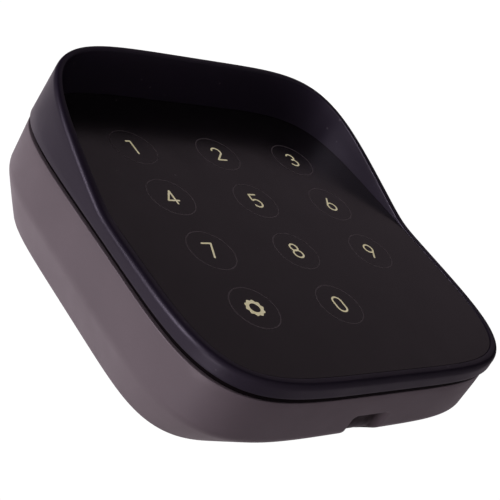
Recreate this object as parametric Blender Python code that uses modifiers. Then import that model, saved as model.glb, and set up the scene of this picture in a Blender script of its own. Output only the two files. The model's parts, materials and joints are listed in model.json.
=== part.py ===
"""Wall keypad with eleven touch keys, a slanted rain hood, four AAA cells and a wall plate.

The wall is the plane y = 0 and the keypad faces -Y. +X is to the right, +Z is up, and the origin is the
middle of the wall plate's back face. Every length below is in millimetres; the helpers turn it into metres.
"""

import math

import bmesh
import bpy
from mathutils import Matrix, Vector

MM = 0.001
GAP = 0.3

# Front: the touch face, the lip around it and the hood
FACE_Y = -19.4
LIP_PROUD = 0.15
OUTER = 36.3
OUTER_POWER = 4.9
POCKET = 34.4
POCKET_POWER = 5.4
HOOD_START_Z = 1.2
HOOD_SLOPE = 0.266
HOOD_SOFTENING = 1.3
HOOD_DRAFT = 0.046
HOOD_HEIGHTS = (-4, -2, -0.5, 0.5, 1.5, 2.5, 4, 6)
PANEL_THICKNESS = 1.2
PANEL_INSET = 0.05
ADHESIVE_OUTER = 33.8
ADHESIVE_INNER = 31.4
INNER_POWER = 5.0
LEDGE_FRONT_Y = -17.3
LEDGE_BACK_Y = -16.0
LEDGE_OPENING = 31.0
RIM_BACK_Y = -16.95
SKIRT_OUTER = 33.5
SKIRT_INNER = 32.1
SKIRT_BACK_Y = -13.2

# Keys
KEY_PITCH_X = 19.05
KEY_PITCH_Z = 12.87
KEY_CENTRE_Z = -0.25
KEY_ROWS = ((-1, 0, 1), (-1, 0, 1), (-1, 0, 1), (-1, 0))

# Rear casing: straight walls, then a rear band that leans in to the wall
CASING_FRONT_Y = -15.7
CASING_X = 36.4
CASING_Z = 36.0
CASING_POWER = 4.8
CREASE_Y = -7.5
CASING_BACK_Y = -0.5
BACK_X = 34.0
BACK_Z = 29.1
BACK_POWER = 5.6
WALL = 2.2
REBATE = 35.5
REBATE_BACK_Y = -14.6

# Seal between rim and casing: a stem in the casing's rebate and a bead that fills the seam
SEAL_OUTER = 35.2
SEAL_INNER = 33.8
SEAL_BEAD_OUTER = 35.9
SEAL_BEAD_INNER = 34.5
SEAL_BEAD_GAP = 0.05

# Finger recess and release button in the casing's lower edge
RECESS_HALF_WIDTH = 4.2
RECESS_FRONT_Y = -11.2
RECESS_BACK_Y = -5.0
RECESS_FLOOR_Z = -34.5
RECESS_CORNER = 1.3
BUTTON_HALF_WIDTH = 3.5
BUTTON_FRONT_Y = -6.1
BUTTON_BACK_Y = -2.9
BUTTON_TOP_Z = -28.6
CATCH_HALF_WIDTH = 3.0

# Hinge line at the hooks on top of the wall plate
HINGE_Y = -3.0
HINGE_Z = 28.1
HOOK_X = 14.0
HOOK_WIDTH = 8.0
HOOK_THICKNESS = 1.2

# Wall plate
PLATE_HALF_X = 31.2
PLATE_TOP_Z = 24.2
PLATE_BOTTOM_Z = -25.4
PLATE_POWER = 5.6
PLATE_THICKNESS = 2.0
PLATE_FLANGE = 1.4
PLATE_FLANGE_Y = -3.0
SLOT_Z = 15.0
SLOT_LENGTH = 10.0
SLOT_WIDTH = 4.6
HOLE_X = 22.0

# Screws that close the casing, and screws that hold the battery tray
CASE_SCREW_X = 29.8
CASE_SCREW_Z = 20.0
TRAY_SCREW_X = 22.0
TRAY_SCREW_Z = 28.9
CASE_BOSS_RADIUS = 2.2
TRAY_BOSS_RADIUS = 1.9
BORE_RADIUS = 1.1
CASE_SCREW_LENGTH = 8.3
CASE_SCREW_HEAD = 1.9
TRAY_SCREW_LENGTH = 2.2
TRAY_SCREW_HEAD = 1.7
SHANK_RADIUS = 0.9
CASE_BOSS_BACK_Y = -7.3
CASE_BORE_FRONT_Y = -14.5
BOSS_ROOT = 0.6
EAR_FRONT_Y = -7.0
EAR_BACK_Y = -5.4
EAR_HALF_Z = 2.6
EAR_REACH = 2.3
TRAY_BOSS_BACK_Y = -15.0

# Battery tray and AAA cells
TRAY_HALF_X = 25.8
TRAY_HALF_Z = 23.0
TRAY_FRONT_Y = -15.0
TRAY_BACK_Y = -4.0
TRAY_WALL = 1.2
TRAY_FLOOR = 0.9
TRAY_EAR_THICKNESS = 1.2
CELL_LENGTH = 44.5
CELL_RADIUS = 5.15
CELL_PITCH = 10.9
CELL_Y = -8.6
NUB_RADIUS = 1.9
NUB_HEIGHT = 0.9
CELL_TIP_X = 23.6

# Boards
BOARD_HALF = 26.7
TOUCH_BOARD_FRONT_Y = -16.6
TOUCH_BOARD_BACK_Y = -15.8
LIGHT_GUIDE_FRONT_Y = -17.9
LIGHT_GUIDE_BACK_Y = -16.9
MAIN_BOARD_FRONT_Y = -13.4
MAIN_BOARD_BACK_Y = -12.6
MAIN_BOARD_HALF_X = 19.7
MAIN_BOARD_LOW_Z = 23.3
MAIN_BOARD_HIGH_Z = 31.4
GUIDE_HALF = 30.6
GUIDE_WINDOW = (1.3, 0.9)
LED_HALF = (0.8, 0.4)
LED_HEIGHT = 0.5
CONNECTOR_HALF_X = 6.0
CONNECTOR_LOW_Z = 24.6
CONNECTOR_HIGH_Z = 26.8
SHIELD_X = (-16.2, -4.6)
SHIELD_Z = (24.6, 30.6)
SHIELD_HEIGHT = 1.9
ANTENNA_X = (-18.9, -17.3)
ANTENNA_Z = (25.6, 30.2)
ANTENNA_HEIGHT = 1.0
BUZZER_CENTRE = (12.5, 27.4)
BUZZER_RADIUS = 3.1
BUZZER_HEIGHT = 3.0
PAIRING_X = 3.5
PAIRING_Z = 25.3
PAIRING_SWITCH_X = 1.7
PAIRING_SWITCH_Z = 1.5
PAIRING_SWITCH_HEIGHT = 1.5
PAIRING_CLEARANCE = 0.75

OUTLINE_POINTS = 64
ROUND_POINTS = 16


def clear_scene():
    for obj in list(bpy.data.objects):
        bpy.data.objects.remove(obj, do_unlink=True)


def new_collection(name):
    collection = bpy.data.collections.new(name)
    bpy.context.scene.collection.children.link(collection)
    return collection


def material(name, colour, roughness, metallic=0.0):
    made = bpy.data.materials.new(name)
    made.use_nodes = True
    shader = made.node_tree.nodes["Principled BSDF"]
    shader.inputs["Base Color"].default_value = (*colour, 1.0)
    shader.inputs["Roughness"].default_value = roughness
    shader.inputs["Metallic"].default_value = metallic
    return made


# Outlines: lists of 2D points


def superellipse(half_x, half_z, power, centre_z=0.0):
    """A square with bulged sides and large soft corners. Points lie closer together at the corners."""
    points = []
    for step in range(OUTLINE_POINTS):
        turn = 2 * math.pi * step / OUTLINE_POINTS
        across, up = math.cos(turn), math.sin(turn)
        across = math.copysign(abs(across) ** 0.6, across)
        up = math.copysign(abs(up) ** 0.6, up)
        reach = (abs(across) ** power + abs(up) ** power) ** (-1 / power)
        points.append((half_x * reach * across, centre_z + half_z * reach * up))
    return points


def circle(across, up, radius, count=ROUND_POINTS):
    turns = [2 * math.pi * step / count for step in range(count)]
    return [(across + radius * math.cos(t), up + radius * math.sin(t)) for t in turns]


def rectangle(left, right, low, high):
    return [(left, low), (right, low), (right, high), (left, high)]


def slot(across, up, length, width, count=8):
    """A horizontal slot with round ends."""
    points = []
    for side, start in ((1, -math.pi / 2), (-1, math.pi / 2)):
        middle = across + side * (length - width) / 2
        for step in range(count + 1):
            turn = start + math.pi * step / count
            points.append((middle + width / 2 * math.cos(turn), up + width / 2 * math.sin(turn)))
    return points


def ribbon(points, thickness):
    """The outline of a bent strip whose middle line runs through the points."""
    sides = ([], [])
    for index, point in enumerate(points):
        before = Vector(points[max(index - 1, 0)])
        after = Vector(points[min(index + 1, len(points) - 1)])
        along = (after - before).normalized()
        across = Vector((-along.y, along.x)) * thickness / 2
        sides[0].append(tuple(Vector(point) + across))
        sides[1].append(tuple(Vector(point) - across))
    return sides[0] + sides[1][::-1]


# Solids

FACING_WALL = Matrix.Rotation(math.pi / 2, 4, "X")
ALONG_X = Matrix(((0, 0, 1, 0), (1, 0, 0, 0), (0, 1, 0, 0), (0, 0, 0, 1)))


def extruded(name, outlines, thickness, placing):
    """A flat outline, with further outlines as holes in it, given a thickness and made a mesh."""
    curve = bpy.data.curves.new(name, "CURVE")
    curve.dimensions = "2D"
    curve.fill_mode = "BOTH"
    curve.extrude = thickness / 2 * MM
    for outline in outlines:
        spline = curve.splines.new("POLY")
        spline.points.add(len(outline) - 1)
        for point, (across, up) in zip(spline.points, outline):
            point.co = (across * MM, up * MM, 0, 1)
        spline.use_cyclic_u = True
    flat = bpy.data.objects.new(name, curve)
    PARTS.objects.link(flat)
    flat.matrix_world = placing
    return meshed(flat)


def meshed(curve_object):
    """Turns a curve object into a mesh object whose caps are joined to its sides."""
    bpy.context.view_layer.update()
    graph = bpy.context.evaluated_depsgraph_get()
    name = curve_object.name
    mesh = bpy.data.meshes.new_from_object(curve_object.evaluated_get(graph))
    solid = bmesh.new()
    solid.from_mesh(mesh)
    bmesh.ops.remove_doubles(solid, verts=solid.verts, dist=0.000001)
    bmesh.ops.recalc_face_normals(solid, faces=solid.faces)
    solid.to_mesh(mesh)
    solid.free()
    placing = curve_object.matrix_world.copy()
    bpy.data.objects.remove(curve_object, do_unlink=True)
    made = bpy.data.objects.new(name, mesh)
    made.matrix_world = placing
    PARTS.objects.link(made)
    return made


def plate(name, outlines, front_y, back_y):
    """Outlines in the plane of the wall, from front_y back to back_y."""
    middle = Matrix.Translation((0, (front_y + back_y) / 2 * MM, 0))
    return extruded(name, outlines, back_y - front_y, middle @ FACING_WALL)


def bar(name, outline, left, right):
    """An outline of (y, z) points, extruded along X."""
    middle = Matrix.Translation(((left + right) / 2 * MM, 0, 0))
    return extruded(name, [outline], right - left, middle @ ALONG_X)


def box(name, low, high):
    solid = bmesh.new()
    bmesh.ops.create_cube(solid, size=1)
    size = [(b - a) * MM for a, b in zip(low, high)]
    middle = [(a + b) / 2 * MM for a, b in zip(low, high)]
    bmesh.ops.scale(solid, vec=size, verts=solid.verts)
    bmesh.ops.translate(solid, vec=middle, verts=solid.verts)
    return from_bmesh(name, solid)


def from_bmesh(name, solid):
    mesh = bpy.data.meshes.new(name)
    solid.to_mesh(mesh)
    solid.free()
    made = bpy.data.objects.new(name, mesh)
    PARTS.objects.link(made)
    return made


def loft(name, sections):
    """A closed body through superellipse sections of (half_x, half_z, power, y)."""
    solid = bmesh.new()
    rings = []
    for half_x, half_z, power, y in sections:
        outline = superellipse(half_x, half_z, power)
        rings.append([solid.verts.new((x * MM, y * MM, z * MM)) for x, z in outline])
    for ring, following in zip(rings, rings[1:]):
        for index in range(OUTLINE_POINTS):
            beside = (index + 1) % OUTLINE_POINTS
            solid.faces.new((ring[index], ring[beside], following[beside], following[index]))
    solid.faces.new(rings[0])
    solid.faces.new(rings[-1])
    bmesh.ops.triangulate(solid, faces=solid.faces)
    bmesh.ops.recalc_face_normals(solid, faces=solid.faces)
    return from_bmesh(name, solid)


def turned(name, profile, placing, steps=ROUND_POINTS):
    """A profile of (radius, height) points, listed top to bottom on its outer side, turned about local Z."""
    mesh = bpy.data.meshes.new(name)
    edges = [(index, index + 1) for index in range(len(profile) - 1)]
    mesh.from_pydata([(radius * MM, 0, height * MM) for radius, height in profile], edges, [])
    made = bpy.data.objects.new(name, mesh)
    PARTS.objects.link(made)
    made.matrix_world = placing
    screw = made.modifiers.new("turn", "SCREW")
    screw.steps = steps
    screw.render_steps = steps
    screw.use_merge_vertices = True
    screw.merge_threshold = 0.000001
    return made


def joined(target, *others):
    """Adds the other solids to the target as Boolean unions."""
    for other in others:
        combine(target, other, "UNION")
    return target


def cut(target, *cutters):
    for cutter in cutters:
        combine(target, cutter, "DIFFERENCE")
    return target


def combine(target, other, operation):
    other.name = f"{target.name}_{operation.lower()}_{len(target.modifiers)}"
    PARTS.objects.unlink(other)
    CUTTERS.objects.link(other)
    other.hide_render = True
    other.display_type = "WIRE"
    boolean = target.modifiers.new(other.name, "BOOLEAN")
    boolean.operation = operation
    boolean.solver = "EXACT"
    boolean.object = other


def finished(obj, finish):
    obj.data.materials.clear()
    obj.data.materials.append(finish)
    obj.data.shade_smooth()
    obj.data.set_sharp_from_angle(angle=math.radians(30))
    return obj


def corners(across, up):
    return [(x, z) for z in (up, -up) for x in (-across, across)]


# Front piece


def hood_front_y(z):
    """The front edge of the rim: level with the face below, then a plane that leans forward to the top."""
    softened = math.log1p(math.exp((z - HOOD_START_Z) / HOOD_SOFTENING)) * HOOD_SOFTENING
    return FACE_Y - LIP_PROUD - HOOD_SLOPE * softened


def make_rim_hood(finish):
    tip_y = hood_front_y(OUTER)
    tip = OUTER - HOOD_DRAFT * (RIM_BACK_Y - tip_y)
    walls = [(tip, tip, OUTER_POWER, tip_y), (OUTER, OUTER, OUTER_POWER, RIM_BACK_Y)]
    rim = loft("rim_hood", walls)
    skirt_outline = superellipse(SKIRT_OUTER, SKIRT_OUTER, OUTER_POWER)
    joined(rim, plate("skirt", [skirt_outline], RIM_BACK_Y - 1, SKIRT_BACK_Y))
    pocket = plate("pocket", [superellipse(POCKET, POCKET, POCKET_POWER)], tip_y - 1, LEDGE_FRONT_Y)
    opening_outline = superellipse(LEDGE_OPENING, LEDGE_OPENING, INNER_POWER)
    opening = plate("opening", [opening_outline], LEDGE_FRONT_Y - 1, LEDGE_BACK_Y + 1)
    inside_outline = superellipse(SKIRT_INNER, SKIRT_INNER, INNER_POWER)
    inside = plate("inside", [inside_outline], LEDGE_BACK_Y, SKIRT_BACK_Y + 1)
    beyond = OUTER + 1
    sight = [(hood_front_y(z), z) for z in (-beyond, *HOOD_HEIGHTS, beyond)]
    sight += [(tip_y - 5, beyond), (tip_y - 5, -beyond)]
    cut(rim, pocket, opening, inside, bar("sight", sight, -beyond, beyond))
    root_y = LEDGE_BACK_Y - BOSS_ROOT
    for x, z in corners(CASE_SCREW_X, CASE_SCREW_Z):
        joined(rim, plate("boss", [circle(x, z, CASE_BOSS_RADIUS)], root_y, CASE_BOSS_BACK_Y))
        cut(rim, plate("bore", [circle(x, z, BORE_RADIUS, 12)], CASE_BORE_FRONT_Y, CASE_BOSS_BACK_Y + 1))
    for x, z in corners(TRAY_SCREW_X, TRAY_SCREW_Z):
        joined(rim, plate("boss", [circle(x, z, TRAY_BOSS_RADIUS)], root_y, TRAY_BOSS_BACK_Y))
        cut(rim, plate("bore", [circle(x, z, BORE_RADIUS, 12)], LEDGE_BACK_Y - 0.2, TRAY_BOSS_BACK_Y + 1))
    return [finished(rim, finish)]


def make_panel_stack(finishes):
    half = POCKET - PANEL_INSET
    back_y = FACE_Y + PANEL_THICKNESS
    panel = plate("touch_panel", [superellipse(half, half, POCKET_POWER)], FACE_Y, back_y)
    outer = superellipse(ADHESIVE_OUTER, ADHESIVE_OUTER, 5.2)
    inner = superellipse(ADHESIVE_INNER, ADHESIVE_INNER, INNER_POWER)
    adhesive = plate("panel_adhesive", [outer, inner], back_y + GAP, LEDGE_FRONT_Y - GAP)
    across, up = GUIDE_WINDOW
    windows = [rectangle(x - across, x + across, z - up, z + up) for x, z in key_places()]
    outline = superellipse(GUIDE_HALF, GUIDE_HALF, INNER_POWER)
    guide = plate("light_guide", [outline, *windows], LIGHT_GUIDE_FRONT_Y, LIGHT_GUIDE_BACK_Y)
    return [
        finished(panel, finishes["glass"]),
        finished(adhesive, finishes["adhesive"]),
        finished(guide, finishes["diffuser"]),
    ]


def key_places():
    places = []
    for row, columns in enumerate(KEY_ROWS):
        z = KEY_CENTRE_Z + (1.5 - row) * KEY_PITCH_Z
        places += [(column * KEY_PITCH_X, z) for column in columns]
    return places


def make_legend_lights(finish):
    lights = []
    for number, (x, z) in enumerate(key_places(), 1):
        low = (x - LED_HALF[0], LIGHT_GUIDE_BACK_Y - LED_HEIGHT, z - LED_HALF[1])
        high = (x + LED_HALF[0], LIGHT_GUIDE_BACK_Y, z + LED_HALF[1])
        lights.append(finished(box(f"legend_led_{number}", low, high), finish))
    return lights


# Boards and what stands on them


def make_boards(finishes):
    touch = plate(
        "touch_board",
        [superellipse(BOARD_HALF, BOARD_HALF, 12)],
        TOUCH_BOARD_FRONT_Y,
        TOUCH_BOARD_BACK_Y,
    )
    main = box(
        "main_board",
        (-MAIN_BOARD_HALF_X, MAIN_BOARD_FRONT_Y, MAIN_BOARD_LOW_Z),
        (MAIN_BOARD_HALF_X, MAIN_BOARD_BACK_Y, MAIN_BOARD_HIGH_Z),
    )
    connector = box(
        "board_connector",
        (-CONNECTOR_HALF_X, TOUCH_BOARD_BACK_Y + GAP, CONNECTOR_LOW_Z),
        (CONNECTOR_HALF_X, MAIN_BOARD_FRONT_Y - GAP, CONNECTOR_HIGH_Z),
    )
    parts_y = MAIN_BOARD_BACK_Y + GAP
    shield = box(
        "radio_shield",
        (SHIELD_X[0], parts_y, SHIELD_Z[0]),
        (SHIELD_X[1], parts_y + SHIELD_HEIGHT, SHIELD_Z[1]),
    )
    antenna = box(
        "chip_antenna",
        (ANTENNA_X[0], parts_y, ANTENNA_Z[0]),
        (ANTENNA_X[1], parts_y + ANTENNA_HEIGHT, ANTENNA_Z[1]),
    )
    buzzer_outline = circle(*BUZZER_CENTRE, BUZZER_RADIUS, 20)
    buzzer = plate("buzzer", [buzzer_outline], parts_y, parts_y + BUZZER_HEIGHT)
    switch = box(
        "pairing_switch",
        (PAIRING_X - PAIRING_SWITCH_X, parts_y, PAIRING_Z - PAIRING_SWITCH_Z),
        (PAIRING_X + PAIRING_SWITCH_X, parts_y + PAIRING_SWITCH_HEIGHT, PAIRING_Z + PAIRING_SWITCH_Z),
    )
    return [
        finished(touch, finishes["board"]),
        finished(main, finishes["board"]),
        finished(connector, finishes["black"]),
        finished(shield, finishes["tin"]),
        finished(antenna, finishes["ceramic"]),
        finished(buzzer, finishes["black"]),
        finished(switch, finishes["black"]),
    ]


def make_pairing_button(finish):
    """A plunger with a thin stem to the back and a wide foot in front of the switch."""
    switch_back_y = MAIN_BOARD_BACK_Y + GAP + PAIRING_SWITCH_HEIGHT
    front_y = switch_back_y + PAIRING_CLEARANCE
    profile = [(0, 6.1), (0.9, 6.1), (0.9, 0.9), (1.6, 0.9), (1.6, 0), (0, 0)]
    place = Matrix.Translation((PAIRING_X * MM, front_y * MM, PAIRING_Z * MM))
    to_the_back = Matrix.Rotation(-math.pi / 2, 4, "X")
    return finished(turned("pairing_button", profile, place @ to_the_back, 12), finish)


# Battery tray, cells and contacts


def make_battery_tray(finish):
    outer = (TRAY_HALF_X, TRAY_BACK_Y, TRAY_HALF_Z)
    tray = box("battery_tray", (-TRAY_HALF_X, TRAY_FRONT_Y, -TRAY_HALF_Z), outer)
    for x, z in corners(TRAY_SCREW_X, TRAY_SCREW_Z):
        side = math.copysign(1, z)
        ends = sorted((side * (TRAY_HALF_Z - 1), z + side * 1.2))
        low = (x - 1.9, TRAY_BOSS_BACK_Y + GAP, ends[0])
        high = (x + 1.9, TRAY_BOSS_BACK_Y + GAP + TRAY_EAR_THICKNESS, ends[1])
        joined(tray, box("ear", low, high))
    guide = box("guide", (PAIRING_X - 2.2, -8.6, TRAY_HALF_Z - 1), (PAIRING_X + 2.2, -7.0, PAIRING_Z + 1.9))
    joined(tray, guide)
    cut(tray, plate("guide_bore", [circle(PAIRING_X, PAIRING_Z, 1.15, 12)], -9.5, -6))
    inner_x = TRAY_HALF_X - TRAY_WALL
    inner_z = TRAY_HALF_Z - TRAY_WALL
    floor_y = TRAY_FRONT_Y + TRAY_FLOOR
    cut(tray, box("bay", (-inner_x, floor_y, -inner_z), (inner_x, TRAY_BACK_Y + 1, inner_z)))
    for rib in (-1, 0, 1):
        z = rib * CELL_PITCH
        low = (-inner_x - 0.4, floor_y - 0.4, z - 0.5)
        joined(tray, box("rib", low, (inner_x + 0.4, floor_y + 1.5, z + 0.5)))
    for x, z in corners(TRAY_SCREW_X, TRAY_SCREW_Z):
        cut(tray, plate("ear_bore", [circle(x, z, BORE_RADIUS, 12)], TRAY_BOSS_BACK_Y - 1, -12))
    return finished(tray, finish)


def make_cells(finishes):
    made = []
    for number in range(1, 5):
        z = (2.5 - number) * CELL_PITCH
        side = 1 if number % 2 else -1
        axis = Matrix.Rotation(side * math.pi / 2, 4, "Y")
        middle = Matrix.Translation((0, CELL_Y * MM, z * MM))
        tip = CELL_TIP_X
        base = tip - CELL_LENGTH
        profile = [
            (0, tip),
            (NUB_RADIUS, tip),
            (NUB_RADIUS, tip - NUB_HEIGHT),
            (CELL_RADIUS - 0.4, tip - NUB_HEIGHT),
            (CELL_RADIUS, tip - NUB_HEIGHT - 0.4),
            (CELL_RADIUS, base + 0.3),
            (CELL_RADIUS - 0.3, base),
            (0, base),
        ]
        cell = turned(f"battery_{number}", profile, middle @ axis, 24)
        made.append(finished(cell, finishes["cell"]))
        inner_x = TRAY_HALF_X - TRAY_WALL
        ends = sorted((side * (tip + GAP), side * (inner_x - GAP)))
        low = (ends[0], CELL_Y - 3.6, z - 3.9)
        contact = box(f"battery_contact_{number}", low, (ends[1], CELL_Y + 3.6, z + 3.9))
        made.append(finished(contact, finishes["tin"]))
        made.append(make_battery_spring(number, z, side, base - GAP, -inner_x + GAP, finishes["tin"]))
    return made


def make_battery_spring(number, z, side, near_x, far_x, finish):
    """A conical spring, wide at the tray's wall and narrow at the cell."""
    wire, turns, per_turn = 0.25, 3, 10
    near_x -= wire
    far_x += wire
    curve = bpy.data.curves.new(f"battery_spring_{number}", "CURVE")
    curve.dimensions = "3D"
    curve.bevel_depth = wire * MM
    curve.bevel_resolution = 1
    curve.use_fill_caps = True
    spline = curve.splines.new("POLY")
    spline.points.add(turns * per_turn)
    for step, point in enumerate(spline.points):
        part = step / (turns * per_turn)
        turn = 2 * math.pi * step / per_turn
        radius = 3.5 - 1.5 * part
        x = side * (far_x + (near_x - far_x) * part)
        point.co = (x * MM, (CELL_Y + radius * math.cos(turn)) * MM, (z + radius * math.sin(turn)) * MM, 1)
    coil = bpy.data.objects.new(curve.name, curve)
    PARTS.objects.link(coil)
    return finished(meshed(coil), finish)


# Rear casing and its seal


def make_rear_casing(finish):
    casing = loft(
        "rear_casing",
        [
            (CASING_X, CASING_Z, CASING_POWER, CASING_FRONT_Y),
            (CASING_X, CASING_Z, CASING_POWER, CREASE_Y - 0.8),
            (CASING_X - 0.2, CASING_Z - 0.6, CASING_POWER, CREASE_Y + 0.3),
            (BACK_X, BACK_Z, BACK_POWER, CASING_BACK_Y),
        ],
    )
    lean = (CASING_Z - BACK_Z) / (CASING_BACK_Y - CREASE_Y)
    slant_wall = WALL * math.hypot(1, lean)
    back_z = BACK_Z - slant_wall
    inner_z = CASING_Z - WALL
    bend_y = CASING_BACK_Y - (inner_z - back_z) / lean
    cavity = loft(
        "cavity",
        [
            (CASING_X - WALL, inner_z, CASING_POWER, CASING_FRONT_Y - 1),
            (CASING_X - WALL, inner_z, CASING_POWER, bend_y),
            (BACK_X - WALL, back_z, BACK_POWER, CASING_BACK_Y),
            (BACK_X - WALL, back_z - lean, BACK_POWER, CASING_BACK_Y + 1),
        ],
    )
    rebate_outline = superellipse(REBATE, REBATE, CASING_POWER)
    rebate = plate("rebate", [rebate_outline], CASING_FRONT_Y - 1, REBATE_BACK_Y)
    cut(casing, cavity, rebate)
    for x, z in corners(CASE_SCREW_X, CASE_SCREW_Z):
        reach = math.copysign(CASING_X - WALL - 0.2, x)
        left, right = sorted((x - math.copysign(EAR_REACH, x), reach))
        low, high = (left, EAR_FRONT_Y, z - EAR_HALF_Z), (right, EAR_BACK_Y, z + EAR_HALF_Z)
        joined(casing, box("ear", low, high))
        cut(casing, plate("ear_bore", [circle(x, z, BORE_RADIUS, 12)], EAR_FRONT_Y - 1, EAR_BACK_Y + 1))
    cut(casing, make_recess_cutter(), make_button_window())
    return finished(casing, finish)


def make_recess_cutter():
    """The finger recess: round corners at its front end, and open to the leaning rear band."""
    front = []
    for side, start in ((1, -math.pi / 2), (-1, -math.pi)):
        for step in range(5):
            turn = start + (math.pi / 2) * step / 4
            x = side * (RECESS_HALF_WIDTH - RECESS_CORNER) + RECESS_CORNER * math.cos(turn)
            front.append((x, RECESS_FRONT_Y + RECESS_CORNER + RECESS_CORNER * math.sin(turn)))
    right, left = front[:5], front[5:]
    ends = [(RECESS_HALF_WIDTH, RECESS_BACK_Y), (-RECESS_HALF_WIDTH, RECESS_BACK_Y)]
    depth = 4.0
    placing = Matrix.Translation((0, 0, (RECESS_FLOOR_Z - depth / 2) * MM))
    return extruded("recess", [right + ends + left], depth, placing)


def make_button_window():
    low = (-BUTTON_HALF_WIDTH - GAP, BUTTON_FRONT_Y - GAP, -CASING_Z - 1)
    high = (BUTTON_HALF_WIDTH + GAP, BUTTON_BACK_Y + GAP, -26.5)
    return box("button_window", low, high)


def make_seam_gasket(finish):
    stem = [
        superellipse(SEAL_OUTER, SEAL_OUTER, CASING_POWER),
        superellipse(SEAL_INNER, SEAL_INNER, OUTER_POWER),
    ]
    bead = [
        superellipse(SEAL_BEAD_OUTER, SEAL_BEAD_OUTER, CASING_POWER),
        superellipse(SEAL_BEAD_INNER, SEAL_BEAD_INNER, CASING_POWER),
    ]
    gasket = plate("seam_gasket", stem, RIM_BACK_Y + GAP, REBATE_BACK_Y - GAP)
    joined(gasket, plate("bead", bead, RIM_BACK_Y + SEAL_BEAD_GAP, CASING_FRONT_Y - SEAL_BEAD_GAP))
    return finished(gasket, finish)


# Release button and the sprung catch that it lifts


def make_release_button(finish):
    face = [
        (BUTTON_FRONT_Y, BUTTON_TOP_Z),
        (BUTTON_FRONT_Y, -33.6),
        (BUTTON_BACK_Y, -30.4),
        (BUTTON_BACK_Y, BUTTON_TOP_Z),
    ]
    button = bar("release_button", face, -BUTTON_HALF_WIDTH, BUTTON_HALF_WIDTH)
    wing_back_y = BUTTON_BACK_Y - 1.8
    wings = box(
        "wings",
        (-BUTTON_HALF_WIDTH - 1.9, BUTTON_FRONT_Y, BUTTON_TOP_Z - 1.2),
        (BUTTON_HALF_WIDTH + 1.9, wing_back_y, BUTTON_TOP_Z - 0.2),
    )
    joined(button, wings)
    return finished(button, finish)


def make_catch_spring(finish):
    """A bent strip: flat on the wall plate, then a nose that stands behind the casing's lower edge."""
    line = [(-2.55, -17), (-2.55, -22.5), (-2.75, -23.7), (-3.0, -25), (-3.5, -27.4), (-3.8, -27.9)]
    line += [(-4.15, -27.4), (-4.7, -25.6)]
    return finished(bar("catch_spring", ribbon(line, 0.4), -CATCH_HALF_WIDTH, CATCH_HALF_WIDTH), finish)


# Wall plate


def make_wall_plate(finish):
    middle_z = (PLATE_TOP_Z + PLATE_BOTTOM_Z) / 2
    half_z = (PLATE_TOP_Z - PLATE_BOTTOM_Z) / 2
    outline = superellipse(PLATE_HALF_X, half_z, PLATE_POWER, middle_z)
    holes = [slot(0, z, SLOT_LENGTH, SLOT_WIDTH) for z in (SLOT_Z, -SLOT_Z)]
    holes += [circle(x, 0, SLOT_WIDTH / 2) for x in (-HOLE_X, HOLE_X)]
    base = plate("wall_plate", [outline, *holes], -PLATE_THICKNESS, 0)
    inner = superellipse(PLATE_HALF_X - PLATE_FLANGE, half_z - PLATE_FLANGE, PLATE_POWER, middle_z)
    flange = plate("flange", [outline, inner], PLATE_FLANGE_Y, -PLATE_THICKNESS / 2)
    joined(base, flange)
    front_y = HINGE_Y - HOOK_THICKNESS
    for side in (-1, 1):
        left, right = side * HOOK_X - HOOK_WIDTH / 2, side * HOOK_X + HOOK_WIDTH / 2
        arm_low = TRAY_HALF_Z + 0.4
        hook = [(-1.0, arm_low - 1.5), (-1.0, arm_low + 0.7), (HINGE_Y, arm_low + 0.7), (HINGE_Y, HINGE_Z)]
        hook += [(front_y + 0.4, HINGE_Z), (front_y, HINGE_Z - 0.4), (front_y, arm_low), (-2.0, arm_low)]
        hook += [(-2.0, arm_low - 1.5)]
        joined(base, bar("hook", hook, left, right))
    gap_front = (-CATCH_HALF_WIDTH - 0.5, PLATE_FLANGE_Y - 0.5, PLATE_BOTTOM_Z - 1)
    cut(base, box("catch_gap", gap_front, (CATCH_HALF_WIDTH + 0.5, -1.9, -23.4)))
    return finished(base, finish)


# Screws


def make_screws(finishes):
    made = []
    for number, (x, z) in enumerate(corners(CASE_SCREW_X, CASE_SCREW_Z), 1):
        head = EAR_BACK_Y + GAP
        size = (CASE_SCREW_LENGTH, CASE_SCREW_HEAD)
        made.append(make_screw(f"case_screw_{number}", x, z, head, *size, finishes["steel"]))
    for number, (x, z) in enumerate(corners(TRAY_SCREW_X, TRAY_SCREW_Z), 1):
        head = TRAY_BOSS_BACK_Y + GAP + TRAY_EAR_THICKNESS + 0.1
        size = (TRAY_SCREW_LENGTH, TRAY_SCREW_HEAD)
        made.append(make_screw(f"tray_screw_{number}", x, z, head, *size, finishes["steel"]))
    return made


def make_screw(name, x, z, head_y, length, head_radius, finish):
    """A pan-head screw whose head sits at head_y and whose shank points to the front."""
    profile = [
        (0, 1.1),
        (head_radius - 0.5, 1.1),
        (head_radius, 0.7),
        (head_radius, 0),
        (SHANK_RADIUS, 0),
        (SHANK_RADIUS, 0.5 - length),
        (0.3, -length),
        (0, -length),
    ]
    placing = Matrix.Translation((x * MM, head_y * MM, z * MM)) @ Matrix.Rotation(-math.pi / 2, 4, "X")
    return finished(turned(name, profile, placing, 12), finish)


def empty_at(name, place):
    empty = bpy.data.objects.new(name, None)
    empty.location = [value * MM for value in place]
    empty.empty_display_size = 0.01
    PARTS.objects.link(empty)
    return empty


def attach(children, parent):
    bpy.context.view_layer.update()
    for child in children:
        child.parent = parent
        child.matrix_parent_inverse = parent.matrix_world.inverted()


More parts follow.
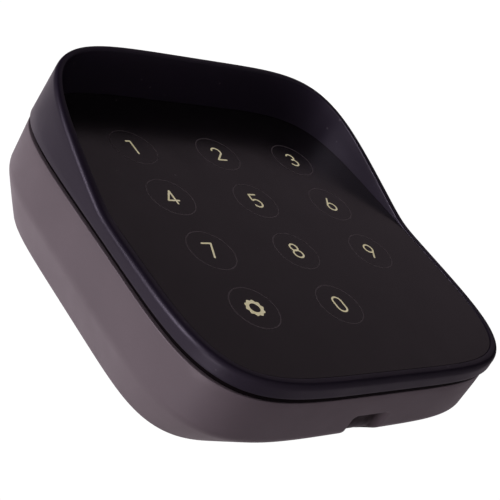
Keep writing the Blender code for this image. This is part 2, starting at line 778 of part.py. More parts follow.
def make_finishes():
    return {
        "casing": material("casing_plastic", (0.085, 0.075, 0.078), 0.42),
        "rim": material("rim_plastic", (0.022, 0.02, 0.03), 0.35),
        "glass": material("panel_black", (0.008, 0.007, 0.008), 0.16),
        "adhesive": material("adhesive_black", (0.03, 0.03, 0.03), 0.8),
        "diffuser": material("diffuser_white", (0.8, 0.8, 0.76), 0.5),
        "led": material("led_yellow", (0.9, 0.8, 0.35), 0.4),
        "board": material("board_green", (0.02, 0.16, 0.06), 0.4),
        "black": material("component_black", (0.02, 0.02, 0.02), 0.5),
        "tin": material("tinned_metal", (0.7, 0.7, 0.68), 0.3, 1.0),
        "ceramic": material("antenna_ceramic", (0.75, 0.72, 0.68), 0.5),
        "tray": material("tray_plastic", (0.05, 0.05, 0.052), 0.5),
        "cell": material("cell_label", (0.2, 0.2, 0.22), 0.3, 0.6),
        "rubber": material("gasket_rubber", (0.012, 0.012, 0.012), 0.8),
        "button": material("button_plastic", (0.03, 0.028, 0.03), 0.4),
        "signal": material("pairing_plastic", (0.75, 0.75, 0.72), 0.45),
        "steel": material("steel", (0.55, 0.55, 0.57), 0.3, 1.0),
        "plate": material("plate_plastic", (0.06, 0.055, 0.058), 0.5),
    }


def build():
    finishes = make_finishes()
    make_wall_plate(finishes["plate"])
    make_catch_spring(finishes["steel"])

    keypad = make_rim_hood(finishes["rim"])
    keypad += make_panel_stack(finishes)
    keypad += make_legend_lights(finishes["led"])
    keypad += make_boards(finishes)
    keypad.append(make_battery_tray(finishes["tray"]))
    keypad += make_cells(finishes)
    keypad.append(make_rear_casing(finishes["casing"]))
    keypad.append(make_seam_gasket(finishes["rubber"]))
    keypad += make_screws(finishes)
    release = make_release_button(finishes["button"])
    pairing = make_pairing_button(finishes["signal"])

    pivot = empty_at("keypad_pivot", (0, HINGE_Y, HINGE_Z))
    release_axis = empty_at("release_axis", (0, (BUTTON_FRONT_Y + BUTTON_BACK_Y) / 2, BUTTON_TOP_Z))
    pairing_axis = empty_at("pairing_axis", (PAIRING_X, MAIN_BOARD_BACK_Y, PAIRING_Z))
    attach([release], release_axis)
    attach([pairing], pairing_axis)
    attach(keypad + [release_axis, pairing_axis], pivot)


clear_scene()
PARTS = new_collection("touch_keypad")
CUTTERS = new_collection("cutters")
CUTTERS.hide_render = True
build()
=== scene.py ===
"""Looks for the wall keypad: fine shells, legends, boards, cells, materials, light and camera."""

import json
import math

import bmesh
import bpy
import numpy as np
from mathutils import Matrix, Vector


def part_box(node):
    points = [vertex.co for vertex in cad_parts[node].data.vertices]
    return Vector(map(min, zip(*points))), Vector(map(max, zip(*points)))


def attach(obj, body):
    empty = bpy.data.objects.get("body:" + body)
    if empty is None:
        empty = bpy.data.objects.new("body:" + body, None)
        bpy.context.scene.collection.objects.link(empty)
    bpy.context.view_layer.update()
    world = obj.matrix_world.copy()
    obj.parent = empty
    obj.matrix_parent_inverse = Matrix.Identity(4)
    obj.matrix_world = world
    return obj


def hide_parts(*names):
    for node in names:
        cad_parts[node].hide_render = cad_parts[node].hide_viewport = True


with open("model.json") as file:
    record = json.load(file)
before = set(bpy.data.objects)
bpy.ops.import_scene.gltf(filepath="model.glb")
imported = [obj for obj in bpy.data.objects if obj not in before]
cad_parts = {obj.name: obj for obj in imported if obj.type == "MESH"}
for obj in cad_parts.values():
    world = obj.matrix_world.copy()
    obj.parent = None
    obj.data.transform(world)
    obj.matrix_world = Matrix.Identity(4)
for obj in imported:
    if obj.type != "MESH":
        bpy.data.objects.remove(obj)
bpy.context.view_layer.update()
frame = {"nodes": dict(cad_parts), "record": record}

MM = 0.001
SHARP_ANGLE = 35


def span(node):
    """A CAD node's lowest and highest corners in millimetres."""
    low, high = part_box(node)
    return Vector(low) / MM, Vector(high) / MM


def middle_xz(node):
    low, high = span(node)
    return (low.x + high.x) / 2, (low.z + high.z) / 2


def numbered(kind):
    """The four nodes of a kind: each one's number, and the middle of its x and of its z."""
    for number in range(1, 5):
        yield number, *middle_xz(f"{kind}_{number}")


# Driving sizes, in millimetres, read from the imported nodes
RIM_HIGH = span("rim_hood")[1]
PANEL_LOW, PANEL_HIGH = span("touch_panel")
CASING_LOW, CASING_HIGH = span("rear_casing")
PLATE_HIGH = span("wall_plate")[1]
TRAY_LOW, TRAY_HIGH = span("battery_tray")
MAIN_LOW, MAIN_HIGH = span("main_board")

OUTER = RIM_HIGH.x
FACE_Y = PANEL_LOW.y
CASING_X = CASING_HIGH.x
CASING_Z = CASING_HIGH.z
CASING_FRONT_Y = CASING_LOW.y
CASING_BACK_Y = CASING_HIGH.y

# Shape numbers that the CAD model shares
LIP_PROUD = 0.15
OUTER_POWER = 4.9
POCKET = 34.4
POCKET_POWER = 5.4
HOOD_START_Z = 1.2
HOOD_SLOPE = 0.266
HOOD_SOFTENING = 1.3
HOOD_DRAFT = 0.046
LIP_OUTER_ROUND = 0.95
LIP_INNER_ROUND = 0.28
LEDGE_FRONT_Y = -17.3
LEDGE_BACK_Y = -16.0
LEDGE_OPENING = 31.0
RIM_BACK_Y = -16.95
SKIRT_OUTER = 33.5
SKIRT_INNER = 32.1
SKIRT_BACK_Y = -13.2
CASING_POWER = 4.8
CREASE_Y = -7.5
BACK_X = 34.0
BACK_Z = 29.1
BACK_POWER = 5.6
WALL = 2.2
REBATE = 35.5
REBATE_BACK_Y = -14.6
RECESS_HALF_WIDTH = 4.2
RECESS_FRONT_Y = -11.2
RECESS_DEPTH = 1.75
RECESS_END_Y = -4.6
KEY_PITCH_X = 19.05
KEY_PITCH_Z = 12.87
KEY_CENTRE_Z = -0.25
KEY_LABELS = ("123", "456", "789", "*0")
TRAY_Z = 23.0
TRAY_WALL = 1.2
TRAY_FLOOR_Y = -14.1
TRAY_BACK_Y = -4.0
CELL_PITCH = 10.9
CELL_Y = -8.6
CELL_RADIUS = 5.15

# Shape numbers of the fine shells alone
EDGE_ADVANCE = 0.45
CASING_EDGE_Y = CASING_FRONT_Y - EDGE_ADVANCE
CASING_LOWER_DRAFT = 0.12
CASING_DRAFT_LENGTH = 3.0
CREASE_SOFTNESS = 0.9
REAR_ROUND = 0.6
PANEL_GAP = 0.03
SCOOP_FINE_HALF_WIDTH = 6.5
NOMINAL_HALF = 36
INK = 0.02

BACKDROP_STRENGTH = 0.45


# Mesh helpers


def linked(name, mesh):
    obj = bpy.data.objects.new(name, mesh)
    bpy.context.scene.collection.objects.link(obj)
    return obj


def mesh_object(name, points, faces):
    """A piece from points in millimetres and faces."""
    mesh = bpy.data.meshes.new(name)
    mesh.from_pydata([tuple(c * MM for c in point) for point in points], [], faces)
    mesh.update()
    return linked(name, mesh)


def smooth(obj, angle=SHARP_ANGLE):
    """Smooth shading with sharp edges kept, and large flat faces left flat."""
    obj.data.shade_smooth()
    obj.data.set_sharp_from_angle(angle=math.radians(angle))
    for face in obj.data.polygons:
        if len(face.vertices) > 4 and face.area > 6 * MM * MM:
            face.use_smooth = False
    return obj


def linked_solid(name, solid):
    """A piece from an edited mesh."""
    mesh = bpy.data.meshes.new(name)
    solid.to_mesh(mesh)
    solid.free()
    return linked(name, mesh)


def outward(obj):
    """Turns all faces of a closed piece outwards."""
    solid = bmesh.new()
    solid.from_mesh(obj.data)
    bmesh.ops.recalc_face_normals(solid, faces=solid.faces)
    solid.to_mesh(obj.data)
    solid.free()
    return obj


def ring_quads(count, levels, loop):
    """Faces between rings of equally many points, and from the last ring to the first in a loop."""
    faces = []
    for level in range(levels if loop else levels - 1):
        a = level * count
        b = (level + 1) % levels * count
        for i in range(count):
            j = (i + 1) % count
            faces.append((a + i, a + j, b + j, b + i))
    return faces


def swept(name, rings, loop):
    """Joins rings of equally many points: the last to the first in a loop, else with both ends capped."""
    count = len(rings[0])
    points = [tuple(point) for ring in rings for point in ring]
    faces = ring_quads(count, len(rings), loop)
    if not loop:
        faces.append(tuple(range(count)))
        faces.append(tuple(range(len(points) - count, len(points))))
    return outward(mesh_object(name, points, faces))


def piece(obj, finish, *nodes, body="keypad", slot=None):
    """Finishes a piece: its material, the body it rides on, and the CAD nodes it stands for, which are
    hidden; the slot argument is not used.
    """
    slot = slot or finish
    obj.data.materials.clear()
    obj.data.materials.append(MATERIALS[finish])
    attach(obj, body)
    if nodes:
        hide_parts(*nodes)
    return obj


def box_mesh(name, low, high, bevel=0.0):
    """A block with rounded edges."""
    solid = bmesh.new()
    bmesh.ops.create_cube(solid, size=1)
    size = [(b - a) * MM for a, b in zip(low, high)]
    middle = [(a + b) / 2 * MM for a, b in zip(low, high)]
    bmesh.ops.scale(solid, vec=size, verts=solid.verts)
    bmesh.ops.translate(solid, vec=middle, verts=solid.verts)
    if bevel:
        edges = solid.edges[:]
        bmesh.ops.bevel(solid, geom=edges, offset=bevel * MM, segments=2, profile=0.5, affect="EDGES")
    return linked_solid(name, solid)


def turned_rings(profile, steps):
    turns = [2 * math.pi * k / steps for k in range(steps)]
    return [[(r * math.cos(t), r * math.sin(t), h) for t in turns] for r, h in profile]


def lathe(name, profile, placing, steps=64):
    """A closed turned body: (radius, height) points in millimetres about local Z, ends on the axis."""
    rings = turned_rings(profile[1:-1], steps)
    points = [point for ring in rings for point in ring]
    first, last = len(points), len(points) + 1
    top = first - steps
    points += [(0, 0, profile[0][1]), (0, 0, profile[-1][1])]
    faces = ring_quads(steps, len(rings), False)
    for k in range(steps):
        j = (k + 1) % steps
        faces.append((first, j, k))
        faces.append((last, top + k, top + j))
    obj = outward(mesh_object(name, points, faces))
    obj.data.transform(placing)
    return smooth(obj)


def turned_loop(name, profile, placing, steps=72):
    """A closed tube: a loop of (radius, height) points turned about local Z."""
    obj = swept(name, turned_rings(profile, steps), True)
    obj.data.transform(placing)
    return smooth(obj, 50)


def boolean(target, cutter):
    """Cuts one shape out of another and removes the cutter."""
    modifier = target.modifiers.new("cut", "BOOLEAN")
    modifier.operation = "DIFFERENCE"
    modifier.solver = "EXACT"
    modifier.object = cutter
    applied(target)
    bpy.data.objects.remove(cutter, do_unlink=True)
    return target


def evaluated_mesh(obj):
    bpy.context.view_layer.update()
    graph = bpy.context.evaluated_depsgraph_get()
    return bpy.data.meshes.new_from_object(obj.evaluated_get(graph))


def applied(obj):
    """Replaces an object's mesh by its evaluated one."""
    mesh = evaluated_mesh(obj)
    obj.modifiers.clear()
    obj.data = mesh
    return obj


def bevelled(obj, width):
    """Rounds the sharp edges of a piece."""
    modifier = obj.modifiers.new("round", "BEVEL")
    modifier.width = width * MM
    modifier.segments = 2
    modifier.limit_method = "ANGLE"
    modifier.angle_limit = math.radians(SHARP_ANGLE)
    modifier.use_clamp_overlap = True
    return applied(obj)


def flat_shape(name, outlines, thickness, placing, bevel=0.0):
    """A flat outline with holes, given a thickness and rounded edges, then placed."""
    curve = bpy.data.curves.new(name, "CURVE")
    curve.dimensions = "2D"
    curve.fill_mode = "BOTH"
    curve.extrude = (thickness / 2 - bevel) * MM
    curve.bevel_depth = bevel * MM
    curve.bevel_resolution = 1
    curve.offset = -bevel * MM
    for outline in outlines:
        spline = curve.splines.new("POLY")
        spline.points.add(len(outline) - 1)
        for point, (across, up) in zip(spline.points, outline):
            point.co = (across * MM, up * MM, 0, 1)
        spline.use_cyclic_u = True
    source = linked(name, curve)
    mesh = evaluated_mesh(source)
    bpy.data.objects.remove(source, do_unlink=True)
    obj = linked(name, mesh)
    solid = bmesh.new()
    solid.from_mesh(mesh)
    bmesh.ops.remove_doubles(solid, verts=solid.verts, dist=0.000002)
    solid.to_mesh(mesh)
    solid.free()
    mesh.transform(placing)
    return smooth(outward(obj))


def at(*place):
    """A shift to a place in millimetres."""
    return Matrix.Translation([c * MM for c in place])


FACING_WALL = Matrix.Rotation(math.pi / 2, 4, "X")
ALONG_X = Matrix(((0, 0, 1, 0), (1, 0, 0, 0), (0, 1, 0, 0), (0, 0, 0, 1)))


def upright(name, outlines, front_y, back_y, bevel=0.0):
    """A flat shape in the plane of the wall."""
    placing = at(0, (front_y + back_y) / 2, 0) @ FACING_WALL
    return flat_shape(name, outlines, back_y - front_y, placing, bevel)


def bar(name, outline, left, right, bevel=0.0):
    """An outline of (y, z) points, extruded along X."""
    placing = at((left + right) / 2, 0, 0) @ ALONG_X
    return flat_shape(name, [outline], right - left, placing, bevel)


def toward_back(x, y, z):
    """Places a turned piece so that its local +Z points at the wall."""
    return at(x, y, z) @ Matrix.Rotation(-math.pi / 2, 4, "X")


# Outlines


def clamped(value):
    return min(max(value, 0), 1)


def superellipse_point(turn, half_x, half_z, power):
    across, up = math.cos(turn), math.sin(turn)
    reach = (abs(across) ** power + abs(up) ** power) ** (-1 / power)
    return half_x * reach * across, half_z * reach * up


def even_turns(count, fine_half_width=0.0, fine_step=0.16):
    """Angles that space points evenly round the case, and closer together beside the finger recess."""
    dense = np.linspace(-math.pi, math.pi, 6001)
    points = np.array([superellipse_point(t, NOMINAL_HALF, NOMINAL_HALF, OUTER_POWER) for t in dense])
    along = np.concatenate([[0], np.cumsum(np.hypot(*np.diff(points, axis=0).T))])
    turns = list(np.interp(np.arange(count) * along[-1] / count, along, dense))
    if fine_half_width:
        limit = math.atan(fine_half_width / NOMINAL_HALF)
        turns = [t for t in turns if abs(t + math.pi / 2) > limit * 1.05]
        steps = int(2 * fine_half_width / fine_step)
        offsets = np.linspace(-fine_half_width, fine_half_width, steps + 1)
        turns += [-math.pi / 2 + math.atan(offset / NOMINAL_HALF) for offset in offsets]
    return sorted(turns)


def outline_xz(turns, half_x, half_z, power, centre_z=0.0):
    points = [superellipse_point(t, half_x, half_z, power) for t in turns]
    return [(x, z + centre_z) for x, z in points]


def ring_at(y, turns, half_x, half_z, power, centre_z=0.0):
    return [(x, y, z) for x, z in outline_xz(turns, half_x, half_z, power, centre_z)]


def quarter_round(radius, steps):
    """A rounded edge: how far each step is set in from the side, and how far it is from the face."""
    for step in range(steps + 1):
        turn = math.pi / 2 * step / steps
        yield radius * (1 - math.cos(turn)), radius * (1 - math.sin(turn))


def arc(centre_x, centre_z, radius_x, radius_z, start, end, count=14):
    """Points on an arc, from start to end in degrees."""
    points = []
    for k in range(count + 1):
        turn = math.radians(start + (end - start) * k / count)
        points.append((centre_x + radius_x * math.cos(turn), centre_z + radius_z * math.sin(turn)))
    return points


def circle(across, up, radius, count=48):
    return arc(across, up, radius, radius, 0, 360, count)[:-1]


def slot_outline(across, up, length, width):
    half = width / 2
    reach = length / 2 - half
    right = arc(across + reach, up, half, half, -90, 90, 16)
    return right + arc(across - reach, up, half, half, 90, 270, 16)


def hood_front_y(z):
    softened = math.log1p(math.exp((z - HOOD_START_Z) / HOOD_SOFTENING)) * HOOD_SOFTENING
    return FACE_Y - LIP_PROUD - HOOD_SLOPE * softened


# Node helpers for materials


class Nodes:
    """Short calls that add nodes to the tree of a material or of the world."""

    def __init__(self, tree, place="Object"):
        self.tree = tree
        self.place = self.add("TexCoord").outputs[place]

    def feed(self, socket, value):
        """Links a socket to another one, or sets its value."""
        if isinstance(value, bpy.types.NodeSocket):
            self.tree.links.new(value, socket)
        elif socket.type == "RGBA":
            socket.default_value = (*value, 1.0)
        else:
            socket.default_value = value

    def fill(self, node, **inputs):
        for key, value in inputs.items():
            self.feed(node.inputs[key.replace("_", " ")], value)
        return node

    def add(self, kind, **inputs):
        return self.fill(self.tree.nodes.new(f"ShaderNode{kind}"), **inputs)

    def noise(self, scale, detail=2.0, roughness=0.5, place=None):
        place = place or self.place
        node = self.add("TexNoise", Scale=scale, Detail=detail, Roughness=roughness, Vector=place)
        return node.outputs["Fac"]

    def cells(self, scale, feature="F1"):
        node = self.add("TexVoronoi", Scale=scale, Vector=self.place)
        node.feature = feature
        return node.outputs["Distance"]

    def stretched(self, scale):
        return self.add("Mapping", Scale=scale, Vector=self.place).outputs["Vector"]

    def remap(self, source, low, high, to_low=0.0, to_high=1.0):
        node = self.add("MapRange", Value=source, From_Min=low, From_Max=high, To_Min=to_low, To_Max=to_high)
        return node.outputs["Result"]

    def blend(self, factor, first, second):
        """Mixes two colours, each a tuple or a socket, by a factor socket."""
        node = self.add("Mix")
        node.data_type = "RGBA"
        for number, value in ((0, factor), (6, first), (7, second)):
            self.feed(node.inputs[number], value)
        return node.outputs[2]

    def times(self, first, *others):
        """The product of some factors."""
        for factor in others:
            node = self.add("Math")
            node.operation = "MULTIPLY"
            self.feed(node.inputs[0], first)
            self.feed(node.inputs[1], factor)
            first = node.outputs[0]
        return first

    def coordinate(self, axis):
        return self.add("SeparateXYZ", Vector=self.place).outputs[axis]

    def shown(self, unseen, seen, output):
        """One shader for what the camera sees, and another for the light that is given back."""
        mix = self.add("MixShader", Fac=self.add("LightPath").outputs["Is Camera Ray"])
        self.feed(mix.inputs[1], unseen.outputs[0])
        self.feed(mix.inputs[2], seen.outputs[0])
        self.fill(self.tree.nodes[output], Surface=mix.outputs[0])


class Shader(Nodes):
    """A Principled material and what feeds it."""

    def __init__(self, name, **values):
        self.material = bpy.data.materials.new(name)
        self.material.use_nodes = True
        super().__init__(self.material.node_tree)
        self.main = self.tree.nodes["Principled BSDF"]
        self.set(**values)

    def set(self, **inputs):
        self.fill(self.main, **inputs)

    def clouds(self):
        return self.remap(self.noise(60, 3.0), 0.35, 0.65)

    def specks(self, size, largest, rarity, most):
        """Sparse dust: small cells that show only where a wide noise is high."""
        speck = self.remap(self.cells(420), size, largest, 1.0, 0.0)
        return self.times(speck, self.remap(self.noise(110, 1.0), rarity, most, 0.0, 0.5))

    def sheen(self, low, high, scale=180, detail=4.0, softness=0.6):
        """A roughness that wanders between two values."""
        self.set(Roughness=self.remap(self.noise(scale, detail, softness), 0.3, 0.7, low, high))

    def bump(self, source, distance):
        relief = self.add("Bump", Distance=distance * MM, Strength=1.0, Height=source)
        self.set(Normal=relief.outputs["Normal"])


def moulded(name, light, dark, roughness, grain=0.012, grain_scale=2600, spread=0.05):
    """Moulded plastic: fine spark texture, faint cloudiness in colour, uneven sheen."""
    s = Shader(name)
    s.set(Base_Color=s.blend(s.clouds(), dark, light))
    s.sheen(roughness - spread, roughness + spread)
    s.bump(s.noise(grain_scale, 2.0, 0.6), grain)
    return s.material


def mottled(name, tones, tone_scale, sheen, sheen_scale, grain, grain_scale, detail=3.0, **values):
    """A finish whose colour, sheen and surface each follow a noise of their own."""
    s = Shader(name, **values)
    s.set(Base_Color=s.blend(s.noise(tone_scale, detail), *tones))
    s.sheen(*sheen, sheen_scale, detail, 0.5)
    s.bump(s.noise(grain_scale, 2.0), grain)
    return s.material


def casing_material():
    """Taupe plastic, with painted shade on the finger scoop's floor: darker and less glossy where the scoop
    is deep.
    """
    s = Shader("casing_plastic")
    plastic = s.blend(s.clouds(), (0.16, 0.14, 0.147), (0.178, 0.156, 0.163))
    floor_z = (-CASING_Z + 0.12) * MM, (-CASING_Z + RECESS_DEPTH * 0.65) * MM
    deep = s.remap(s.coordinate("Z"), *floor_z)
    beside = s.add("Math")
    beside.operation = "ABSOLUTE"
    s.feed(beside.inputs[0], s.coordinate("X"))
    near = s.remap(beside.outputs[0], 0.005, 0.0065, 1.0, 0.0)
    below = s.remap(s.coordinate("Z"), -0.033, -0.0325, 1.0, 0.0)
    ahead = s.remap(s.coordinate("Y"), -0.0055, -0.0045, 1.0, 0.0)
    # Painted shade: the scoop floor turns near black and loses gloss where it is deep, within its width and
    # ahead of its back end.
    painted_shade = s.times(deep, near, below, ahead, s.remap(s.noise(700, 3.0), 0.25, 0.6, 0.72, 0.95))
    s.set(Base_Color=s.blend(painted_shade, plastic, (0.024, 0.017, 0.0175)))
    s.set(Specular_IOR_Level=s.remap(painted_shade, 0.0, 0.95, 0.8, 0.2))
    s.sheen(0.41, 0.51)
    s.bump(s.noise(2400, 2.0, 0.6), 0.016)
    return s.material


def rim_material():
    """Black plastic with a faint violet sheen and a little dust."""
    s = Shader("rim_plastic", Specular_IOR_Level=0.75, Specular_Tint=(0.85, 0.86, 0.95))
    black = s.blend(s.clouds(), (0.0135, 0.0095, 0.0195), (0.0165, 0.0115, 0.0245))
    s.set(Base_Color=s.blend(s.specks(0.07, 0.12, 0.56, 0.62), black, (0.16, 0.15, 0.16)))
    s.sheen(0.39, 0.47)
    s.bump(s.noise(3000, 2.0, 0.6), 0.008)
    return s.material


def panel_material():
    """Satin black panel: soft gloss with a very fine grain and a few specks of dust."""
    s = Shader("panel_black", Specular_Tint=(1.0, 0.985, 0.92))
    s.set(Base_Color=s.blend(s.specks(0.06, 0.1, 0.62, 0.67), (0.007, 0.006, 0.0066), (0.2, 0.2, 0.2)))
    s.sheen(0.2, 0.27, 140)
    s.bump(s.noise(3200, 1.0), 0.0015)
    return s.material


def legend_material():
    """Warm pale yellow of a lit legend, dimmer towards the top where the light behind it falls off."""
    s = Shader("legend_glow", Emission_Strength=0.34)
    tone = s.remap(s.noise(900, 2.0), 0.3, 0.7)
    warm = s.blend(tone, (0.87, 0.8, 0.47), (0.96, 0.91, 0.62))
    height = s.add("SeparateXYZ", Vector=s.add("TexCoord").outputs["Generated"]).outputs["Z"]
    lit = s.blend(s.remap(height, 0.4, 1.1), warm, (0.3, 0.275, 0.2))
    s.set(Base_Color=lit, Emission_Color=lit, Roughness=s.remap(tone, 0.0, 1.0, 0.45, 0.56))
    s.bump(s.noise(3000, 2.0), 0.002)
    return s.material


def ring_material():
    """Thin grey ink, a little uneven in tone and sheen."""
    tones = (0.105, 0.097, 0.094), (0.175, 0.16, 0.155)
    return mottled("ring_ink", tones, 700, (0.4, 0.52), 400, 0.002, 3000, detail=2.0)


def rubber_material():
    """Black seal rubber, dull, with a fine mottle."""
    tones = (0.0024, 0.0014, 0.0019), (0.0048, 0.0028, 0.0038)
    return mottled("seal_rubber", tones, 500, (0.82, 0.95), 260, 0.01, 1500, Specular_IOR_Level=0.12)


def foam_material():
    """Dark closed-cell foam."""
    s = Shader("adhesive_foam")
    pores = s.cells(2600)
    s.set(Roughness=s.remap(pores, 0.1, 0.5, 0.92, 0.78))
    s.set(Base_Color=s.blend(s.remap(pores, 0.1, 0.5), (0.012, 0.012, 0.012), (0.04, 0.04, 0.04)))
    s.bump(pores, 0.05)
    return s.material


def steel_material():
    """Bright spring steel with fine rolling lines."""
    s = Shader("spring_steel", Metallic=1.0)
    lines = s.noise(1.0, 3.0, 0.6, s.stretched((300, 300, 6000)))
    s.set(Base_Color=s.blend(lines, (0.42, 0.42, 0.43), (0.62, 0.62, 0.63)))
    s.set(Roughness=s.remap(lines, 0.3, 0.7, 0.24, 0.4))
    s.bump(lines, 0.003)
    return s.material


def nickel_material():
    """Dull nickel plating."""
    s = Shader("nickel_plate", Metallic=1.0)
    mottled = s.noise(1100, 4.0, 0.6)
    s.set(Base_Color=s.blend(mottled, (0.62, 0.6, 0.56), (0.78, 0.76, 0.72)))
    s.set(Roughness=s.remap(mottled, 0.3, 0.7, 0.2, 0.36))
    s.bump(mottled, 0.004)
    return s.material


def screw_material():
    """Black zinc with bright wear in the grain."""
    s = Shader("screw_zinc", Metallic=0.9)
    wear = s.remap(s.noise(1500, 4.0, 0.7), 0.5, 0.7)
    s.set(Base_Color=s.blend(wear, (0.3, 0.3, 0.31), (0.55, 0.55, 0.56)))
    s.set(Roughness=s.remap(wear, 0.0, 1.0, 0.42, 0.28))
    s.bump(s.noise(3000, 2.0), 0.004)
    return s.material


def board_material():
    """Green solder mask with the copper traces faintly raised under it."""
    s = Shader("solder_mask", IOR=1.5, Coat_Weight=0.3, Coat_Roughness=0.12)
    traces = s.remap(s.cells(230, "DISTANCE_TO_EDGE"), 0.03, 0.07, 1.0, 0.0)
    s.set(Base_Color=s.blend(traces, (0.006, 0.075, 0.028), (0.02, 0.16, 0.06)))
    s.sheen(0.3, 0.42, 400, 3.0, 0.5)
    s.bump(traces, 0.02)
    return s.material


def milky_material():
    """Milky plastic that lets some light through."""
    tones = (0.78, 0.78, 0.73), (0.86, 0.86, 0.82)
    clear = {"IOR": 1.49, "Transmission_Weight": 0.25}
    return mottled("light_guide_milk", tones, 200, (0.34, 0.46), 260, 0.006, 1800, **clear)


def ceramic_material():
    """Pale fired ceramic."""
    tones = (0.6, 0.56, 0.5), (0.8, 0.77, 0.7)
    return mottled("antenna_ceramic", tones, 3000, (0.44, 0.58), 900, 0.006, 4000)


def component_material():
    return moulded("component_black", (0.022, 0.022, 0.023), (0.013, 0.013, 0.013), 0.5, 0.01, 3500)


def pale_plastic_material():
    return moulded("pairing_plastic", (0.78, 0.78, 0.74), (0.7, 0.7, 0.66), 0.42, 0.008, 2600)


def phosphor_material():
    """Yellow phosphor under a clear drop."""
    tones = (0.8, 0.62, 0.12), (0.95, 0.8, 0.3)
    return mottled("led_phosphor", tones, 5000, (0.3, 0.42), 2500, 0.004, 6000, detail=2.0, Coat_Weight=0.6)


def tray_material():
    return moulded("tray_plastic", (0.05, 0.048, 0.05), (0.036, 0.035, 0.036), 0.5, 0.014, 1800)


def plate_material():
    return moulded("plate_plastic", (0.075, 0.066, 0.069), (0.06, 0.053, 0.056), 0.5, 0.016, 2000)


def button_material():
    return moulded("button_plastic", (0.03, 0.027, 0.03), (0.022, 0.02, 0.022), 0.42, 0.01, 2600)


def cell_print(name, tones, metal):
    """Varnished print on a cell's sleeve."""
    varnish = {"Metallic": metal, "Coat_Weight": 0.4, "Coat_Roughness": 0.15}
    return mottled(name, tones, 300, (0.25, 0.36), 700, 0.004, 1200, **varnish)


def cell_material():
    """Slate grey print."""
    return cell_print("cell_sleeve", ((0.045, 0.055, 0.075), (0.06, 0.072, 0.095)), 0.55)


def cell_band_material():
    """Pale metallic print at the positive end of a cell."""
    return cell_print("cell_band", ((0.42, 0.4, 0.36), (0.52, 0.5, 0.45)), 0.6)


def floor_material():
    """A pale floor that looks evenly lit and gives back little light of its own."""
    s = Shader("studio_floor", Roughness=0.8)
    mottle = s.noise(6, 3.0)
    pale = s.blend(mottle, (0.74, 0.74, 0.74), (0.78, 0.78, 0.78))
    s.set(Base_Color=s.blend(mottle, (0.46, 0.435, 0.465), (0.5, 0.472, 0.505)))
    s.shown(s.main, s.add("Emission", Color=pale), "Material Output")
    return s.material


MATERIALS = {
    "casing": casing_material(),
    "rim": rim_material(),
    "glass": panel_material(),
    "legend": legend_material(),
    "ring": ring_material(),
    "gasket": rubber_material(),
    "adhesive": foam_material(),
    "steel": steel_material(),
    "tinned_metal": nickel_material(),
    "screw": screw_material(),
    "board": board_material(),
    "diffuser": milky_material(),
    "ceramic": ceramic_material(),
    "component_black": component_material(),
    "pairing": pale_plastic_material(),
    "led": phosphor_material(),
    "tray": tray_material(),
    "plate": plate_material(),
    "button": button_material(),
    "cell": cell_material(),
    "cell_band": cell_band_material(),
}


# Front: rim with its hood, panel and legends


def make_hood():
    """One closed body: leaning outer wall, rounded lip on the slanted plane, inner wall, ledge and skirt."""
    turns = even_turns(400)
    lip = OUTER - POCKET
    back_round = 0.15
    rings = []

    def ring(inset, level):
        power = OUTER_POWER + (POCKET_POWER - OUTER_POWER) * clamped(inset / lip)
        points = []
        for turn in turns:
            x, z = superellipse_point(turn, OUTER, OUTER, power)
            part = (OUTER - inset) / OUTER
            for settle in range(3):
                y = level(z * part)
                lean = HOOD_DRAFT * (RIM_BACK_Y - y) * max(1 - inset / lip, 0)
                part = (OUTER - inset - max(lean, 0)) / OUTER
            points.append((x * part, y, z * part))
        rings.append(points)

    for drop, inset in quarter_round(back_round, 3):
        ring(inset, lambda z, drop=drop: RIM_BACK_Y - drop)
    for part in (0.25, 0.5, 0.75):
        ring(0, lambda z, part=part: RIM_BACK_Y + (hood_front_y(z) + LIP_OUTER_ROUND - RIM_BACK_Y) * part)
    for inset, rise in quarter_round(LIP_OUTER_ROUND, 9):
        ring(inset, lambda z, rise=rise: hood_front_y(z) + rise)
    ring((LIP_OUTER_ROUND + lip - LIP_INNER_ROUND) / 2, hood_front_y)
    for rise, gap in quarter_round(LIP_INNER_ROUND, 6):
        ring(lip - gap, lambda z, rise=rise: hood_front_y(z) + rise)
    for part in (0.2, 0.4, 0.6, 0.8, 0.94):
        foot = LEDGE_FRONT_Y * part
        ring(lip, lambda z, part=part, foot=foot: (hood_front_y(z) + LIP_INNER_ROUND) * (1 - part) + foot)
    for half, y in (
        (POCKET, LEDGE_FRONT_Y),
        (LEDGE_OPENING, LEDGE_FRONT_Y),
        (LEDGE_OPENING, LEDGE_BACK_Y),
        (SKIRT_INNER, LEDGE_BACK_Y),
        (SKIRT_INNER, SKIRT_BACK_Y),
        (SKIRT_OUTER, SKIRT_BACK_Y),
        (SKIRT_OUTER, RIM_BACK_Y),
    ):
        ring(OUTER - half, lambda z, y=y: y)
    return smooth(swept("hood_shell", rings, True), 50)


def make_bosses():
    """The tubes on the rim's ledge that take the case screws and the tray screws."""
    bore = 1.05
    front_y = LEDGE_BACK_Y + 0.05
    made = []
    for kind, outer, back_y in (("case", 2.2, -7.3), ("tray", 1.9, -15.0)):
        for number, x, z in numbered(f"{kind}_screw"):
            outlines = [circle(x, z, outer), circle(x, z, bore)]
            made.append(upright(f"{kind}_boss_{number}", outlines, front_y, back_y, 0.08))
    return made


def make_panel():
    """The touch panel, with its front edge barely rounded."""
    turns = even_turns(360)
    half = POCKET - PANEL_GAP
    edge = 0.04
    rings = [ring_at(PANEL_HIGH.y, turns, half, half, POCKET_POWER)]
    for inset, rise in quarter_round(edge, 4):
        rings.append(ring_at(FACE_Y + rise, turns, half - inset, half - inset, POCKET_POWER))
    return smooth(swept("touch_face", rings, False), 50)


